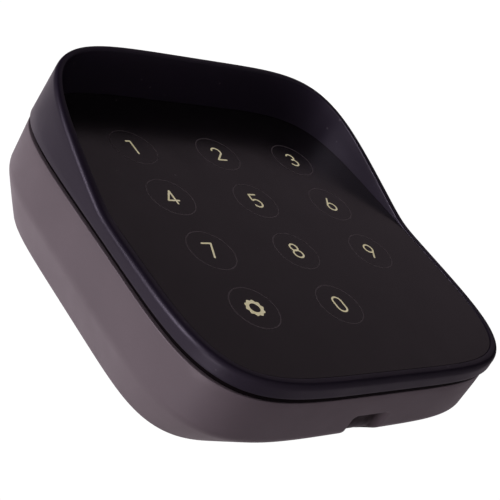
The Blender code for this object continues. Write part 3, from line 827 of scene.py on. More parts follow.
def digit_strokes(character):
    """Middle lines of a digit's strokes, in a cell 2 wide and 3.2 high with its middle at 0, 0."""
    w, h = 0.93, 1.6
    strokes = {
        "0": [arc(0, h - w, w, w, 0, 180) + arc(0, w - h, w, w, 180, 360) + [(w, h - w)]],
        "1": [[(-0.75, h - 0.08), (0.1, h), (0.1, -h)]],
        "2": [arc(0, h - w, w, w, 165, -35) + [(-w, -h), (w, -h)]],
        "3": [arc(-0.02, 0.82, 0.8, 0.78, 150, -90) + arc(-0.02, -0.72, 0.92, 0.88, 90, -150)],
        "4": [[(0.45, -h), (0.45, h - 0.1), (-1.05, -0.85), (1.1, -0.85)]],
        "5": [[(0.8, h), (-0.62, h), (-0.72, 0.2)] + arc(0, -0.64, w, 0.96, 128, -150)],
        "6": [[(0.35, h), (-0.72, -0.12)] + arc(0, -0.66, w, 0.94, 145, 505, 28)],
        "7": [[(-0.95, h), (0.9, h), (-0.4, -h)]],
        "8": [arc(0, 0.82, 0.76, 0.78, -90, 270, 26), arc(0, -0.72, 0.95, 0.88, 90, 450, 28)],
        "9": [[(-0.35, -h), (0.72, 0.12)] + arc(0, 0.66, w, 0.94, -35, 325, 28)],
    }
    return strokes[character]


def stroke_mask(strokes, width, scale, resolution=0.045):
    """Outlines of strokes of one width, traced from their distance field by marching squares."""
    segments = []
    for stroke in strokes:
        for a, b in zip(stroke, stroke[1:]):
            segments.append((np.array(a, float) * scale, np.array(b, float) * scale))
    half = width / 2

    def distance(x, z):
        nearest = np.full(x.shape, 9.0)
        for a, b in segments:
            d = b - a
            length = max(float(d @ d), 1e-9)
            t = np.clip(((x - a[0]) * d[0] + (z - a[1]) * d[1]) / length, 0, 1)
            nearest = np.minimum(nearest, np.hypot(x - a[0] - t * d[0], z - a[1] - t * d[1]))
        return nearest - half

    return traced(distance, 2.6 * scale, resolution)


def traced(field, reach, resolution):
    """Closed outlines of field < 0 inside a square of half width reach."""
    count = int(2 * reach / resolution) + 1
    axis = np.linspace(-reach, reach, count)
    x, z = np.meshgrid(axis, axis, indexing="ij")
    values = field(x, z)
    inside = values < 0
    edges = {}

    def crossing(i, j, k, l):
        a, b = values[i, j], values[k, l]
        t = a / (a - b)
        return (axis[i] + (axis[k] - axis[i]) * t, axis[j] + (axis[l] - axis[j]) * t)

    links = {}
    for i in range(count - 1):
        for j in range(count - 1):
            corner = ((i, j), (i + 1, j), (i + 1, j + 1), (i, j + 1))
            state = [bool(inside[c]) for c in corner]
            if all(state) or not any(state):
                continue
            cuts = []
            for k in range(4):
                m = (k + 1) % 4
                if state[k] != state[m]:
                    key = tuple(sorted((corner[k], corner[m])))
                    if key not in edges:
                        edges[key] = crossing(*key[0], *key[1])
                    cuts.append((key, state[k]))
            starts = [key for key, leaving in cuts if leaving]
            ends = [key for key, leaving in cuts if not leaving]
            for first, second in zip(starts, ends):
                links[first] = second
    outlines = []
    while links:
        key, following = links.popitem()
        loop = [key]
        while following != key and following in links:
            loop.append(following)
            following = links.pop(following)
        outlines.append([edges[k] for k in loop])
    return outlines


def gear_field(x, z):
    """A ring with ten low rounded teeth."""
    radius = np.hypot(x, z)
    turn = np.arctan2(z, x)
    outer = 1.68 + 0.12 * np.cos(10 * turn)
    return np.maximum(radius - outer, 0.97 - radius)


def key_places():
    for row, labels in enumerate(KEY_LABELS):
        z = KEY_CENTRE_Z + (1.5 - row) * KEY_PITCH_Z
        for column, label in enumerate(labels):
            yield label, (column - 1) * KEY_PITCH_X, z


def make_legends():
    """Digits, gear and rings: thin printed shapes on the panel's face."""
    digit_scale, stroke_width, ring_radius, ring_width = 1.03, 0.34, 4.42, 0.2
    back_y = FACE_Y - INK / 10
    for label, x, z in key_places():
        if label == "*":
            outlines = traced(gear_field, 2.2, 0.05)
            name = "legend_gear"
        else:
            outlines = stroke_mask(digit_strokes(label), stroke_width, digit_scale)
            name = f"legend_{label}"
        placed = [[(x + a, z + b) for a, b in outline] for outline in outlines]
        digit = upright(name, placed, FACE_Y - INK, back_y)
        piece(digit, "legend", slot="led")
        bands = [circle(x, z, ring_radius + side * ring_width / 2, 96) for side in (1, -1)]
        ring = upright(f"key_{name}_ring", bands, FACE_Y - INK / 2, back_y)
        piece(ring, "ring", slot="glass")


# Rear casing


def eased(value, start, end):
    """0 at start, 1 at end, with a soft slope between."""
    part = clamped((value - start) / (end - start))
    return part * part * (3 - 2 * part)


def recess_depth(x, y):
    """Depth of the finger scoop: steep at its front and left ends, fading to the back and to the right."""
    corner = 0.9
    dx = -x - RECESS_HALF_WIDTH + corner
    dy = RECESS_FRONT_Y - y + corner
    outside = math.hypot(max(dx, 0), max(dy, 0)) + min(max(dx, dy), 0) - corner
    steep = 1 - eased(outside, -0.28, 0.1)
    right = 1 - eased(x, RECESS_HALF_WIDTH - 1.4, RECESS_HALF_WIDTH + 0.4)
    fade = clamped((RECESS_END_Y - y) / (RECESS_END_Y - RECESS_FRONT_Y))
    return RECESS_DEPTH * fade ** 0.85 * steep * right


def casing_sections():
    """(y, half_x, half_z, power) on the outside, from the front edge back to the rear edge's rounding."""
    band = CASING_BACK_Y - CREASE_Y

    def section(y, fall=0.0):
        part = fall / band
        half_x = CASING_X - (CASING_X - BACK_X) * part
        half_z = CASING_Z - (CASING_Z - BACK_Z) * part
        return y, half_x, half_z, CASING_POWER + (BACK_POWER - CASING_POWER) * part

    edge = 0.16
    sections = []
    for rise, inset in quarter_round(edge, 4):
        sections.append((CASING_EDGE_Y + rise, CASING_X - inset, CASING_Z - inset, CASING_POWER))
    sections += [section(y) for y in (-14.6, -13.4, -12.2)]
    y = -11.9
    while y < CREASE_Y - CREASE_SOFTNESS - 0.05:
        sections.append(section(y))
        y += 0.17
    for step in range(9):
        part = step / 8
        sections.append(section(CREASE_Y + CREASE_SOFTNESS * (2 * part - 1), CREASE_SOFTNESS * part * part))
    start = CREASE_Y + CREASE_SOFTNESS
    for step in range(1, 21):
        y = start + (CASING_BACK_Y - REAR_ROUND - start) * step / 20
        sections.append(section(y, y - CREASE_Y))
    return sections


def lower_edge_share(y, z):
    """The share of the lower edge's dip: all at the lower front edge, none above or further back."""
    lowered = clamped(-z / CASING_Z)
    return lowered**2 * max(1 - max(y - CASING_EDGE_Y, 0) / CASING_DRAFT_LENGTH, 0)


def casing_inside():
    """(y, half_x, half_z, power) from the rear edge to the front edge on the inside."""
    lean_z = (CASING_Z - BACK_Z) / (CASING_BACK_Y - CREASE_Y)
    inner_x, inner_z = CASING_X - WALL, CASING_Z - WALL
    back_x, back_z = BACK_X - WALL, BACK_Z - WALL * math.hypot(1, lean_z)
    bend_y = CASING_BACK_Y - (inner_z - back_z) / lean_z
    middle_y, middle_power = (bend_y + CASING_BACK_Y) / 2, (CASING_POWER + BACK_POWER) / 2
    return (
        (CASING_BACK_Y, back_x, back_z, BACK_POWER),
        (CASING_BACK_Y - 0.3, back_x + 0.05, back_z + 0.3, BACK_POWER),
        (middle_y, (back_x + inner_x) / 2, (back_z + inner_z) / 2, middle_power),
        (bend_y, inner_x, inner_z, CASING_POWER),
        (REBATE_BACK_Y, inner_x, inner_z, CASING_POWER),
        (REBATE_BACK_Y, REBATE, REBATE, CASING_POWER),
        (CASING_EDGE_Y, REBATE, REBATE, CASING_POWER),
    )


def make_casing():
    """The shell: straight walls with the finger scoop, the leaning rear band, and the button's window."""
    turns = even_turns(340, SCOOP_FINE_HALF_WIDTH)
    sections = casing_sections()
    rings = []
    for y, half_x, half_z, power in sections:
        ring = []
        for x, z in outline_xz(turns, half_x, half_z, power):
            share = lower_edge_share(y, z)
            if z < 0 and abs(x) < SCOOP_FINE_HALF_WIDTH:
                z += recess_depth(x, y)
            ring.append((x, y + EDGE_ADVANCE * share, z + CASING_LOWER_DRAFT * share))
        rings.append(ring)
    y, half_x, half_z, power = sections[-1]
    for inset, left in list(quarter_round(REAR_ROUND, 5))[1:]:
        part = 1 - left / REAR_ROUND
        back = y + REAR_ROUND * part
        rings.append(ring_at(back, turns, half_x - inset - 0.2 * part, half_z - inset - 0.5 * part, power))
    for y, half_x, half_z, power in casing_inside():
        ring = ring_at(y, turns, half_x, half_z, power)
        rings.append([(x, y + EDGE_ADVANCE * lower_edge_share(y, z), z) for x, y, z in ring])
    low, high = span("release_button")
    window_half, window_top = 3.8, -26.5
    window_low = (-window_half, low.y - 0.3, -CASING_Z - 1)
    window = box_mesh("window", window_low, (window_half, high.y + 0.3, window_top))
    return smooth(boolean(swept("casing_shell", rings, True), window), 42)


def make_casing_ears():
    """The four inner ears that the case screws clamp."""
    ears = []
    half_width = 2.6
    for number, x, z in numbered("case_screw"):
        side = math.copysign(1, x)
        left, right = sorted((x - side * 2.3, side * 33.9))
        outline = rounded_rectangle(left, right, z - half_width, z + half_width, 0.8)
        ears.append(upright(f"casing_ear_{number}", [outline, circle(x, z, 1.1, 32)], -7.0, -5.4, 0.12))
    return ears


def rounded_rectangle(left, right, low, high, radius, count=6):
    points = []
    corners = ((right, high, 0), (left, high, 90), (left, low, 180), (right, low, 270))
    for x, z, start in corners:
        centre_x = x - math.copysign(radius, x - (left + right) / 2)
        centre_z = z - math.copysign(radius, z - (low + high) / 2)
        points += arc(centre_x, centre_z, radius, radius, start, start + 90, count)
    return points


def node_rectangle(low, high, inset, radius):
    """A rounded rectangle a little inside a node's box, seen from the front."""
    return rounded_rectangle(low.x + inset, high.x - inset, low.z + inset, high.z - inset, radius)


def make_gasket():
    """A ring in the casing's rebate with a flat bead that fills the seam almost to the outside."""
    turns = even_turns(300)
    back = span("seam_gasket")[1].y
    bead_front, bead_back = RIM_BACK_Y + 0.02, CASING_EDGE_Y - 0.02
    stem, inner, bead = 35.2, SKIRT_OUTER + 0.3, 35.9
    corners = (
        (inner, bead_front),
        (bead - 0.2, bead_front),
        (bead - 0.06, bead_front + 0.06),
        (bead, bead_front + 0.2),
        (bead, bead_back - 0.2),
        (bead - 0.06, bead_back - 0.06),
        (bead - 0.2, bead_back),
        (stem, bead_back),
        (stem, back - 0.25),
        (stem - 0.25, back),
        (inner + 0.25, back),
        (inner, back - 0.25),
    )
    rings = []
    for half, y in corners:
        dip = EDGE_ADVANCE if bead_front + 0.2 < y <= bead_back else 0
        ring = ring_at(y, turns, half, half, CASING_POWER)
        rings.append([(x, y + dip * lower_edge_share(CASING_EDGE_Y, z), z) for x, y, z in ring])
    return smooth(swept("gasket_ring", rings, True), 40)


piece(make_hood(), "rim", "rim_hood")
for boss in make_bosses():
    piece(boss, "rim")
piece(make_panel(), "glass", "touch_panel")
make_legends()
piece(make_casing(), "casing", "rear_casing")
for ear in make_casing_ears():
    piece(ear, "casing")
piece(make_gasket(), "gasket", "seam_gasket")


# Inside and back: plate, catch, buttons, boards, tray, cells and screws


def merged(name, parts):
    """Joins closed parts into one piece."""
    solid = bmesh.new()
    for part in parts:
        solid.from_mesh(part.data)
        bpy.data.objects.remove(part, do_unlink=True)
    return smooth(linked_solid(name, solid))


def ribbon(points, thickness):
    """The outline of a bent strip whose middle line runs through the points."""
    sides = ([], [])
    for k, point in enumerate(points):
        before = Vector(points[max(k - 1, 0)])
        after = Vector(points[min(k + 1, len(points) - 1)])
        along = (after - before).normalized()
        across = Vector((-along.y, along.x)) * thickness / 2
        sides[0].append(tuple(Vector(point) + across))
        sides[1].append(tuple(Vector(point) - across))
    return sides[0] + sides[1][::-1]


def rounded_path(points, steps=6):
    """A smooth line through the points, straight between far ones."""
    line = [Vector(p) for p in points]
    made = [line[0]]
    for k in range(1, len(line) - 1):
        reach = min((line[k] - line[k - 1]).length, (line[k + 1] - line[k]).length) * 0.45
        start = line[k] + (line[k - 1] - line[k]).normalized() * reach
        end = line[k] + (line[k + 1] - line[k]).normalized() * reach
        for step in range(steps + 1):
            t = step / steps
            made.append(start * (1 - t) ** 2 + line[k] * 2 * t * (1 - t) + end * t * t)
    made.append(line[-1])
    return [tuple(p) for p in made]


def tube(name, path, radius, sides=10):
    """A round wire along a path of points in millimetres."""
    line = [Vector(p) for p in path]
    rings = []
    across = None
    for k, point in enumerate(line):
        along = (line[min(k + 1, len(line) - 1)] - line[max(k - 1, 0)]).normalized()
        if across is None:
            across = along.orthogonal().normalized()
        across = (across - along * across.dot(along)).normalized()
        other = along.cross(across)
        turns = [2 * math.pi * i / sides for i in range(sides)]
        rings.append([point + (across * math.cos(t) + other * math.sin(t)) * radius for t in turns])
    return smooth(swept(name, rings, False), 50)


def tray_outline(inset):
    radius = max(1.6 - inset, 0.3)
    left, right = TRAY_LOW.x + inset, TRAY_HIGH.x - inset
    return rounded_rectangle(left, right, -TRAY_Z + inset, TRAY_Z - inset, radius)


def make_tray():
    """The open tray with ribs between the cells, screw ears with gussets, and the pairing button's guide."""
    wall, back = TRAY_WALL, TRAY_BACK_Y
    levels = [(0.3, TRAY_LOW.y), (0.0, TRAY_LOW.y + 0.3), (0.0, back - 0.4), (0.1, back - 0.12), (0.35, back)]
    levels += [(wall - 0.35, back), (wall - 0.1, back - 0.12), (wall, back - 0.4)]
    levels += [(wall, TRAY_FLOOR_Y - 0.4), (wall + 0.4, TRAY_FLOOR_Y)]
    rings = [[(x, y, z) for x, z in tray_outline(inset)] for inset, y in levels]
    parts = [swept("tray_shell", rings, False)]
    parts += [cradle_rib(rib * CELL_PITCH) for rib in (-1, 0, 1)]
    for _, x, z in numbered("tray_screw"):
        side = math.copysign(1, z)
        bottom, top = sorted((side * (TRAY_Z - 0.9), z + side * 1.2))
        outline = rounded_rectangle(x - 1.9, x + 1.9, bottom, top, 0.8)
        parts.append(upright("ear", [outline, circle(x, z, 1.1, 32)], TRAY_LOW.y + 0.05, -13.75, 0.1))
        foot, tip = side * (TRAY_Z - 0.3), side * (TRAY_Z + 2.6)
        gusset = [(-13.8, foot), (-13.8, tip), (-10.6, foot)]
        parts.append(bar("gusset", gusset, x - 0.35, x + 0.35, 0.08))
    x, z = middle_xz("pairing_button")
    lug = rounded_rectangle(x - 2.2, x + 2.2, TRAY_Z - 0.6, z + 1.9, 0.9)
    parts.append(upright("lug", [lug, circle(x, z, 1.15, 32)], -8.6, -7.0, 0.15))
    piece(merged("cell_tray", parts), "tray", "battery_tray")


def cradle_rib(middle_z):
    """A rib between two cells, hollowed on both sides to their roundness."""
    left, right = [], []
    for step in range(13):
        y = TRAY_FLOOR_Y - 0.15 + 3.3 * step / 12
        reach = CELL_RADIUS + 0.15
        across = math.sqrt(max(reach ** 2 - (y - CELL_Y) ** 2, 0))
        half = min(CELL_PITCH / 2 - across, 1.9)
        left.append((y, middle_z - half))
        right.append((y, middle_z + half))
    return bar("cradle_rib", left + right[::-1], -19.5, 19.5, 0.05)


def make_cells():
    """Each cell: a turned can with its button end, a pale band and a slate sleeve."""
    for number, _, z in numbered("battery"):
        low, high = span(f"battery_{number}")
        side = 1 if number % 2 else -1
        tip = max(abs(low.x), abs(high.x))
        base = -min(abs(low.x), abs(high.x))
        placing = at(0, CELL_Y, z) @ Matrix.Rotation(side * math.pi / 2, 4, "Y")
        core = [(0, tip), (1.6, tip), (1.82, tip - 0.08), (1.9, tip - 0.28), (1.9, tip - 0.8)]
        core += [(2.05, tip - 0.95), (2.6, tip - 1.0), (3.9, tip - 0.98), (4.5, tip - 1.05), (4.8, tip - 1.4)]
        core += [(4.85, base + 0.5), (4.3, base + 0.2), (3.6, base + 0.16), (3.4, base + 0.02), (0, base)]
        piece(lathe(f"cell_{number}_can", core, placing), "tinned_metal", f"battery_{number}", slot="cell")
        can, skin, band_end = 4.8, CELL_RADIUS, tip - 10.5
        band = [(4.35, tip - 0.92), (4.9, tip - 0.96), (5.1, tip - 1.12), (skin, tip - 1.4), (skin, band_end)]
        band += [(can, band_end), (can, tip - 1.5), (4.4, tip - 1.06)]
        sleeve = [(can, band_end), (skin, band_end), (skin, base + 0.4), (5.08, base + 0.14)]
        sleeve += [(4.85, base + 0.03), (4.3, base + 0.02), (4.3, base + 0.14), (can, base + 0.5)]
        piece(turned_loop(f"cell_{number}_band", band, placing), "cell_band", slot="cell")
        piece(turned_loop(f"cell_{number}_sleeve", sleeve, placing), "cell")


def make_contact(number, z):
    """A positive contact: a plate with a dimple and a soldering tab."""
    low, high = span(f"battery_contact_{number}")
    side = math.copysign(1, low.x)
    outer = max(abs(low.x), abs(high.x))
    left, right = sorted((side * outer, side * (outer - 0.4)))
    plate = box_mesh("contact", (left, low.y, low.z), (right, high.y, high.z), 0.12)
    placing = at(side * (outer - 0.45), CELL_Y, z) @ Matrix.Rotation(-side * math.pi / 2, 4, "Y")
    bowl = [(0, 0.44), (0.6, 0.4), (1.2, 0.22), (1.7, 0.02), (1.9, -0.2), (0, -0.2)]
    dimple = lathe("dimple", bowl, placing, 32)
    tab = box_mesh("tab", (left, high.y - 0.3, z - 1.2), (right, high.y + 0.9, z + 1.2), 0.12)
    contact = merged(f"contact_{number}", [plate, dimple, tab])
    piece(contact, "tinned_metal", f"battery_contact_{number}")


def make_cell_spring(number, z):
    """A negative contact: a conical wire spring with closed end turns."""
    low, high = span(f"battery_spring_{number}")
    wire = 0.25
    turns, per_turn = 3.75, 28
    side = math.copysign(1, -low.x)
    far = max(abs(low.x), abs(high.x)) - wire
    near = min(abs(low.x), abs(high.x)) + wire
    count = int(turns * per_turn)
    path = []
    for step in range(count + 1):
        turn = 2 * math.pi * step / per_turn
        climb = clamped((step - per_turn * 0.75) / (count - per_turn * 1.5))
        radius = 3.5 - 1.7 * step / count
        along = -side * (far + (near - far) * climb)
        path.append((along, CELL_Y + radius * math.cos(turn), z + radius * math.sin(turn)))
    piece(tube(f"spring_{number}", path, wire), "tinned_metal", f"battery_spring_{number}")


def make_contacts():
    for number, _, z in numbered("battery_contact"):
        make_contact(number, z)
        make_cell_spring(number, z)


def make_screw(name, x, z, head_y, length, radius):
    """A pan-head screw with a cross recess and a threaded shank that points to the front."""
    profile = [(0, 1.1), (radius - 0.8, 1.1), (radius - 0.4, 1.02), (radius - 0.12, 0.8), (radius, 0.5)]
    profile += [(radius, 0.06), (radius - 0.06, 0), (0.92, 0)]
    pitch = 0.5
    for k in range(int((length - 0.6) / pitch)):
        profile += [(0.72, -0.12 - pitch * k), (0.92, -0.36 - pitch * k)]
    profile += [(0.6, 0.3 - length), (0.2, -length), (0, -length)]
    screw = lathe(name, profile, Matrix.Identity(4), 40)
    reach = radius * 0.58
    for turn in (0, math.pi / 2):
        arm = box_mesh("arm", (-reach, -0.22, 0.5), (reach, 0.22, 1.4))
        arm.data.transform(Matrix.Rotation(turn + 0.4, 4, "Z"))
        screw = boolean(screw, arm)
    screw.data.transform(toward_back(x, head_y, z))
    return smooth(screw)


def make_screws():
    head = 1.1
    for kind, radius in (("case", 1.9), ("tray", 1.7)):
        for number, x, z in numbered(f"{kind}_screw"):
            low, high = span(f"{kind}_screw_{number}")
            head_y = high.y - head
            screw = make_screw(f"{kind}_fixing_{number}", x, z, head_y, head_y - low.y, radius)
            piece(screw, "screw", f"{kind}_screw_{number}", slot="steel")


def make_plate():
    """The wall plate: rounded edges, a raised flange, countersunk slots and holes, and two hooks on top."""
    top, bottom, half_x = 24.2, -25.4, PLATE_HIGH.x
    middle_z, half_z = (top + bottom) / 2, (top - bottom) / 2
    flange = 1.4
    levels = [(0.25, 0.0), (0.0, -0.25), (0.0, -2.7), (0.09, -2.91), (0.3, -3.0)]
    levels += [(flange - 0.3, -3.0), (flange - 0.09, -2.91), (flange, -2.7)]
    levels += [(flange, -2.2), (flange + 0.2, -2.0)]
    turns = even_turns(220)
    rings = [ring_at(y, turns, half_x - inset, half_z - inset, BACK_POWER, middle_z) for inset, y in levels]
    plate = swept("plate", rings, False)
    for z in (15.0, -15.0):
        boolean(plate, upright("slot", [slot_outline(0, z, 10, 4.6)], -4, 1))
        boolean(plate, upright("sink", [slot_outline(0, z, 12, 6.6)], -4, -1.3))
    for x in (-22.0, 22.0):
        boolean(plate, upright("hole", [circle(x, 0, 2.3)], -4, 1))
        boolean(plate, upright("sink", [circle(x, 0, 3.6)], -4, -1.3))
    boolean(plate, box_mesh("gap", (-3.5, -3.5, -27), (3.5, -1.9, -23.4)))
    half_wide, half_high = 5.5, 4
    for x, z in ((-15, 11.5), (15, 11.5), (-15, -12.5), (15, -12.5)):
        outline = rounded_rectangle(x - half_wide, x + half_wide, z - half_high, z + half_high, 1.5)
        boolean(plate, upright("pocket", [outline], -4, -1.5))
    parts = [bevelled(plate, 0.15)]
    for side in (-1, 1):
        arm_low = TRAY_Z + 0.4
        hook = [(-1.0, arm_low - 1.5), (-1.0, arm_low + 0.7), (-3.0, arm_low + 0.7), (-3.0, 28.1)]
        hook += [(-3.8, 28.1), (-4.05, 28.0), (-4.2, 27.7)]
        hook += [(-4.2, arm_low), (-2.0, arm_low), (-2.0, arm_low - 1.5)]
        parts.append(bar("hook", hook, side * 14 - 4, side * 14 + 4, 0.12))
        for edge in (-3, 0, 3):
            web = [(-1.5, 20.2), (-1.5, 23.6), (-3.9, 23.6), (-3.9, 23.3)]
            parts.append(bar("web", web, side * 14 + edge - 0.3, side * 14 + edge + 0.3, 0.05))
    piece(merged("mounting_plate", parts), "plate", "wall_plate", body="wall_plate")


def make_catch():
    """The bent spring strip with its nose, and the two rivets that hold it on the plate."""
    line = [(-2.55, -17), (-2.55, -22.5), (-2.75, -23.7), (-3.0, -25), (-3.5, -27.4), (-3.8, -27.9)]
    line += [(-4.15, -27.4), (-4.7, -25.6)]
    strip = bar("catch_strip", ribbon(rounded_path(line), 0.4), -3.0, 3.0, 0.06)
    rivets = []
    for x in (-1.6, 1.6):
        head = [(0, 0.4), (0.35, 0.37), (0.65, 0.2), (0.75, 0), (0, 0)]
        rivets.append(lathe("rivet", head, at(x, -2.74, -18.6) @ FACING_WALL, 32))
    piece(merged("catch_strip", [strip, *rivets]), "steel", "catch_spring", body="wall_plate")


def make_buttons():
    """The release button with four grip ribs, and the pairing plunger."""
    face = [(-6.1, -28.6), (-6.1, -33.6), (-2.9, -30.4), (-2.9, -28.6)]
    parts = [bar("press", face, -3.5, 3.5, 0.22)]
    for part in (0.2, 0.4, 0.6, 0.8):
        y, z = -6.1 + 3.2 * part, -33.6 + 3.2 * part
        grip = [(y - 0.3, z - 0.02), (y - 0.08, z - 0.24), (y + 0.24, z + 0.08), (y + 0.02, z + 0.3)]
        parts.append(bar("grip", grip, -2.7, 2.7, 0.06))
    parts.append(box_mesh("wing", (-5.4, -6.1, -29.8), (5.4, -4.7, -28.8), 0.2))
    piece(merged("press_tab", parts), "button", "release_button", body="release_button")
    low, high = span("pairing_button")
    x, z = middle_xz("pairing_button")
    tip = high.y - low.y
    profile = [(0, tip - 0.25), (0.35, tip - 0.2), (0.62, tip - 0.05), (0.72, tip), (0.84, tip - 0.05)]
    profile += [(0.9, tip - 0.2), (0.9, 1.1), (1.0, 0.92)]
    profile += [(1.5, 0.9), (1.6, 0.8), (1.6, 0.1), (1.5, 0), (0, 0)]
    plunger = lathe("plunger", profile, toward_back(x, low.y, z), 40)
    piece(plunger, "pairing", "pairing_button", body="pairing_button")


def make_main_board():
    """The radio board with its chips, capacitors, pads and vias."""
    low, high = MAIN_LOW, MAIN_HIGH
    outline = node_rectangle(low, high, 0, 0.6)
    holes = [circle(x, z, 0.45, 24) for x in (-18.2, 18.2) for z in (24.4, 30.6)]
    board = upright("radio_board", [outline, *holes], low.y, high.y, 0.04)
    piece(board, "board", "main_board")
    y = high.y
    chips, caps, pads = [], [], []
    sizes = ((-2.9, 0.3, 27.4, 30.6, 0.85), (6.2, 8.4, 24.4, 26.2, 0.8), (16.6, 18.9, 28.4, 29.9, 0.9))
    for left, right, bottom, top, tall in sizes:
        chips.append(box_mesh("chip", (left, y, bottom), (right, y + tall, top), 0.08))
    for k in range(6):
        z = 27.75 + k * 0.5
        for left in (-3.25, 0.25):
            pads.append(box_mesh("pin", (left, y, z - 0.12), (left + 0.4, y + 0.2, z + 0.12), 0.03))
    places = [(-2.6, 24.4), (-1.0, 24.4), (0.6, 24.4), (-2.6, 25.9), (-0.4, 25.9), (2.2, 28.3), (2.2, 29.5)]
    places += [(4.0, 28.3), (4.0, 29.5), (6.2, 28.0), (7.9, 28.0), (6.2, 29.4), (7.9, 29.4), (16.9, 24.6)]
    places += [(16.9, 25.9), (18.6, 26.6)]
    for x, z in places:
        caps.append(box_mesh("body", (x - 0.32, y, z - 0.3), (x + 0.32, y + 0.5, z + 0.3), 0.05))
        for left in (x - 0.58, x + 0.3):
            pads.append(box_mesh("end", (left, y, z - 0.31), (left + 0.28, y + 0.52, z + 0.31), 0.05))
    for k in range(9):
        x = -17 + k * 4.1
        pads.append(upright("via", [circle(x, 23.75, 0.2, 16)], y - 0.01, y + 0.03))
    piece(merged("board_chips", chips), "component_black")
    piece(merged("board_capacitors", caps), "ceramic")
    piece(merged("board_pads", pads), "tinned_metal")


def make_shield():
    """The shield can: a fence with a perforated lid."""
    low, high = span("radio_shield")
    fence = box_mesh("fence", (low.x, low.y, low.z), (high.x, high.y - 0.25, high.z), 0.15)
    outline = node_rectangle(low, high, 0.05, 0.5)
    holes = []
    for across in range(6):
        for up in range(3):
            holes.append(circle(low.x + 1.8 + across * 1.6, low.z + 1.4 + up * 1.6, 0.35, 20))
    lid = upright("lid", [outline, *holes], high.y - 0.2, high.y, 0.05)
    piece(merged("shield_can", [fence, lid]), "tinned_metal", "radio_shield")


def make_antenna():
    """The chip antenna: a ceramic body between two tinned ends."""
    low, high = span("chip_antenna")
    ends = []
    for z in (low.z, high.z - 0.5):
        ends.append(box_mesh("end", (low.x, low.y, z), (high.x, high.y, z + 0.5), 0.06))
    body_low, body_high = (low.x + 0.03, low.y, low.z + 0.45), (high.x - 0.03, high.y - 0.03, high.z - 0.45)
    piece(smooth(box_mesh("antenna_body", body_low, body_high, 0.06)), "ceramic", "chip_antenna")
    piece(merged("antenna_ends", ends), "tinned_metal")


def make_buzzer():
    low, high = span("buzzer")
    tall = high.y - low.y
    radius = (high.x - low.x) / 2
    profile = [(0, tall - 0.6), (0.55, tall - 0.6), (0.6, tall - 0.05), (0.66, tall), (radius - 0.25, tall)]
    profile += [(radius - 0.06, tall - 0.08), (radius, tall - 0.3), (radius, 0.6), (radius - 0.12, 0.5)]
    profile += [(radius - 0.12, 0.1), (radius - 0.2, 0), (0, 0)]
    x, z = middle_xz("buzzer")
    piece(lathe("sounder", profile, toward_back(x, low.y, z), 64), "component_black", "buzzer")


def make_switch():
    """The pairing switch: a body, its dome, and a metal cover with a bore for the dome."""
    low, high = span("pairing_switch")
    x, z = middle_xz("pairing_switch")
    body = box_mesh("switch_body", (low.x, low.y, low.z), (high.x, high.y - 0.55, high.z), 0.12)
    profile = [(0, 0.7), (0.6, 0.68), (0.85, 0.55), (0.9, 0.3), (0.9, 0), (0, 0)]
    dome = lathe("dome", profile, toward_back(x, high.y - 0.7, z), 40)
    piece(merged("switch_body", [body, dome]), "component_black", "pairing_switch")
    outline = node_rectangle(low, high, 0.1, 0.2)
    cover = upright("switch_cover", [outline, circle(x, z, 1.1, 32)], high.y - 0.58, high.y - 0.42, 0.03)
    piece(cover, "tinned_metal")


make_plate()
make_catch()
make_buttons()
make_tray()
make_cells()
make_contacts()
make_main_board()
make_shield()
make_antenna()
make_buzzer()
make_switch()
make_screws()

for name, node in frame["nodes"].items():
    slot = next(s["material_slot"] for s in frame["record"]["subparts"] if s["node"] == name)
    finish = MATERIALS["screw"] if "screw" in name else MATERIALS[slot]
    node.data.materials.clear()
    node.data.materials.append(finish)


# Stage, lights and camera


def area_light(name, place, size, power, colour):
    """A rectangular light that faces the object's middle."""
    light = bpy.data.lights.new(name, "AREA")
    light.shape = "RECTANGLE"
    light.size, light.size_y = size
    light.energy = power
    light.color = colour
    obj = bpy.data.objects.new(name, light)
    obj.location = place
    obj.rotation_euler = (Vector((0, -0.01, 0)) - Vector(place)).to_track_quat("-Z", "Y").to_euler()
    bpy.context.scene.collection.objects.link(obj)


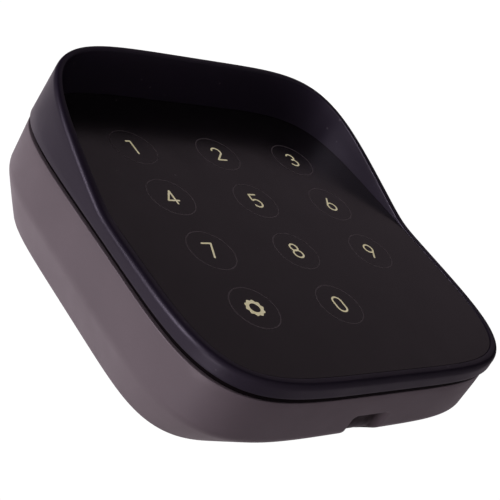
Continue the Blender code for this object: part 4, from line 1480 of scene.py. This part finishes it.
def make_stage():
    half, z = 2500, -600
    corners = [(-half, -half, z), (half, -half, z), (half, half, z), (-half, half, z)]
    floor = mesh_object("floor", corners, [(0, 1, 2, 3)])
    floor.data.materials.append(floor_material())


def make_world():
    """A white backdrop: the camera sees it plain, and the object is lit by the half of it behind the wall."""
    world = bpy.data.worlds.new("studio")
    bpy.context.scene.world = world
    world.use_nodes = True
    nodes = Nodes(world.node_tree, "Generated")
    seen = nodes.fill(nodes.tree.nodes["Background"], Color=(1, 1, 1), Strength=1.05)
    strength = nodes.remap(nodes.coordinate("Y"), -0.1, 0.5, 0.006, BACKDROP_STRENGTH)
    lit = nodes.add("Background", Color=(1, 0.86, 0.93), Strength=strength)
    nodes.shown(lit, seen, "World Output")


def make_lights():
    area_light("left_front", (-0.85, -0.3, 0.25), (0.3, 0.3), 3.2, (1, 0.86, 1))
    area_light("left_low", (-0.7, 0.1, -0.3), (0.5, 0.25), 0.95, (1, 0.86, 0.95))
    area_light("right_low", (0.5, 0.45, -0.55), (0.5, 0.5), 0.16, (1, 0.88, 0.93))
    area_light("top_back", (0, 0.6, 0.7), (0.8, 0.8), 0.8, (1, 0.88, 0.97))
    area_light("front_right", (0.8, -0.5, 0.64), (0.8, 0.8), 0.36, (1, 0.8, 0.94))


def make_camera():
    camera = bpy.data.cameras.new("photo_camera")
    camera.lens = 85.8
    camera.sensor_width = 36
    camera.shift_x = -0.0168
    camera.shift_y = 0.0106
    camera.clip_start = 0.01
    camera.clip_end = 20
    obj = bpy.data.objects.new("photo_camera", camera)
    right = Vector((0.7111, -0.4701, -0.5228)).normalized()
    back = Vector((-0.7031, -0.4747, -0.5295)).normalized()
    up = back.cross(right).normalized()
    right = up.cross(back).normalized()
    rotation = Matrix((right, up, back)).transposed().to_4x4()
    obj.matrix_world = Matrix.Translation((-0.14349, -0.10974, -0.10859)) @ rotation
    bpy.context.scene.collection.objects.link(obj)
    bpy.context.scene.camera = obj


make_stage()
make_world()
make_lights()
make_camera()
bpy.context.scene.view_settings.view_transform = "Standard"
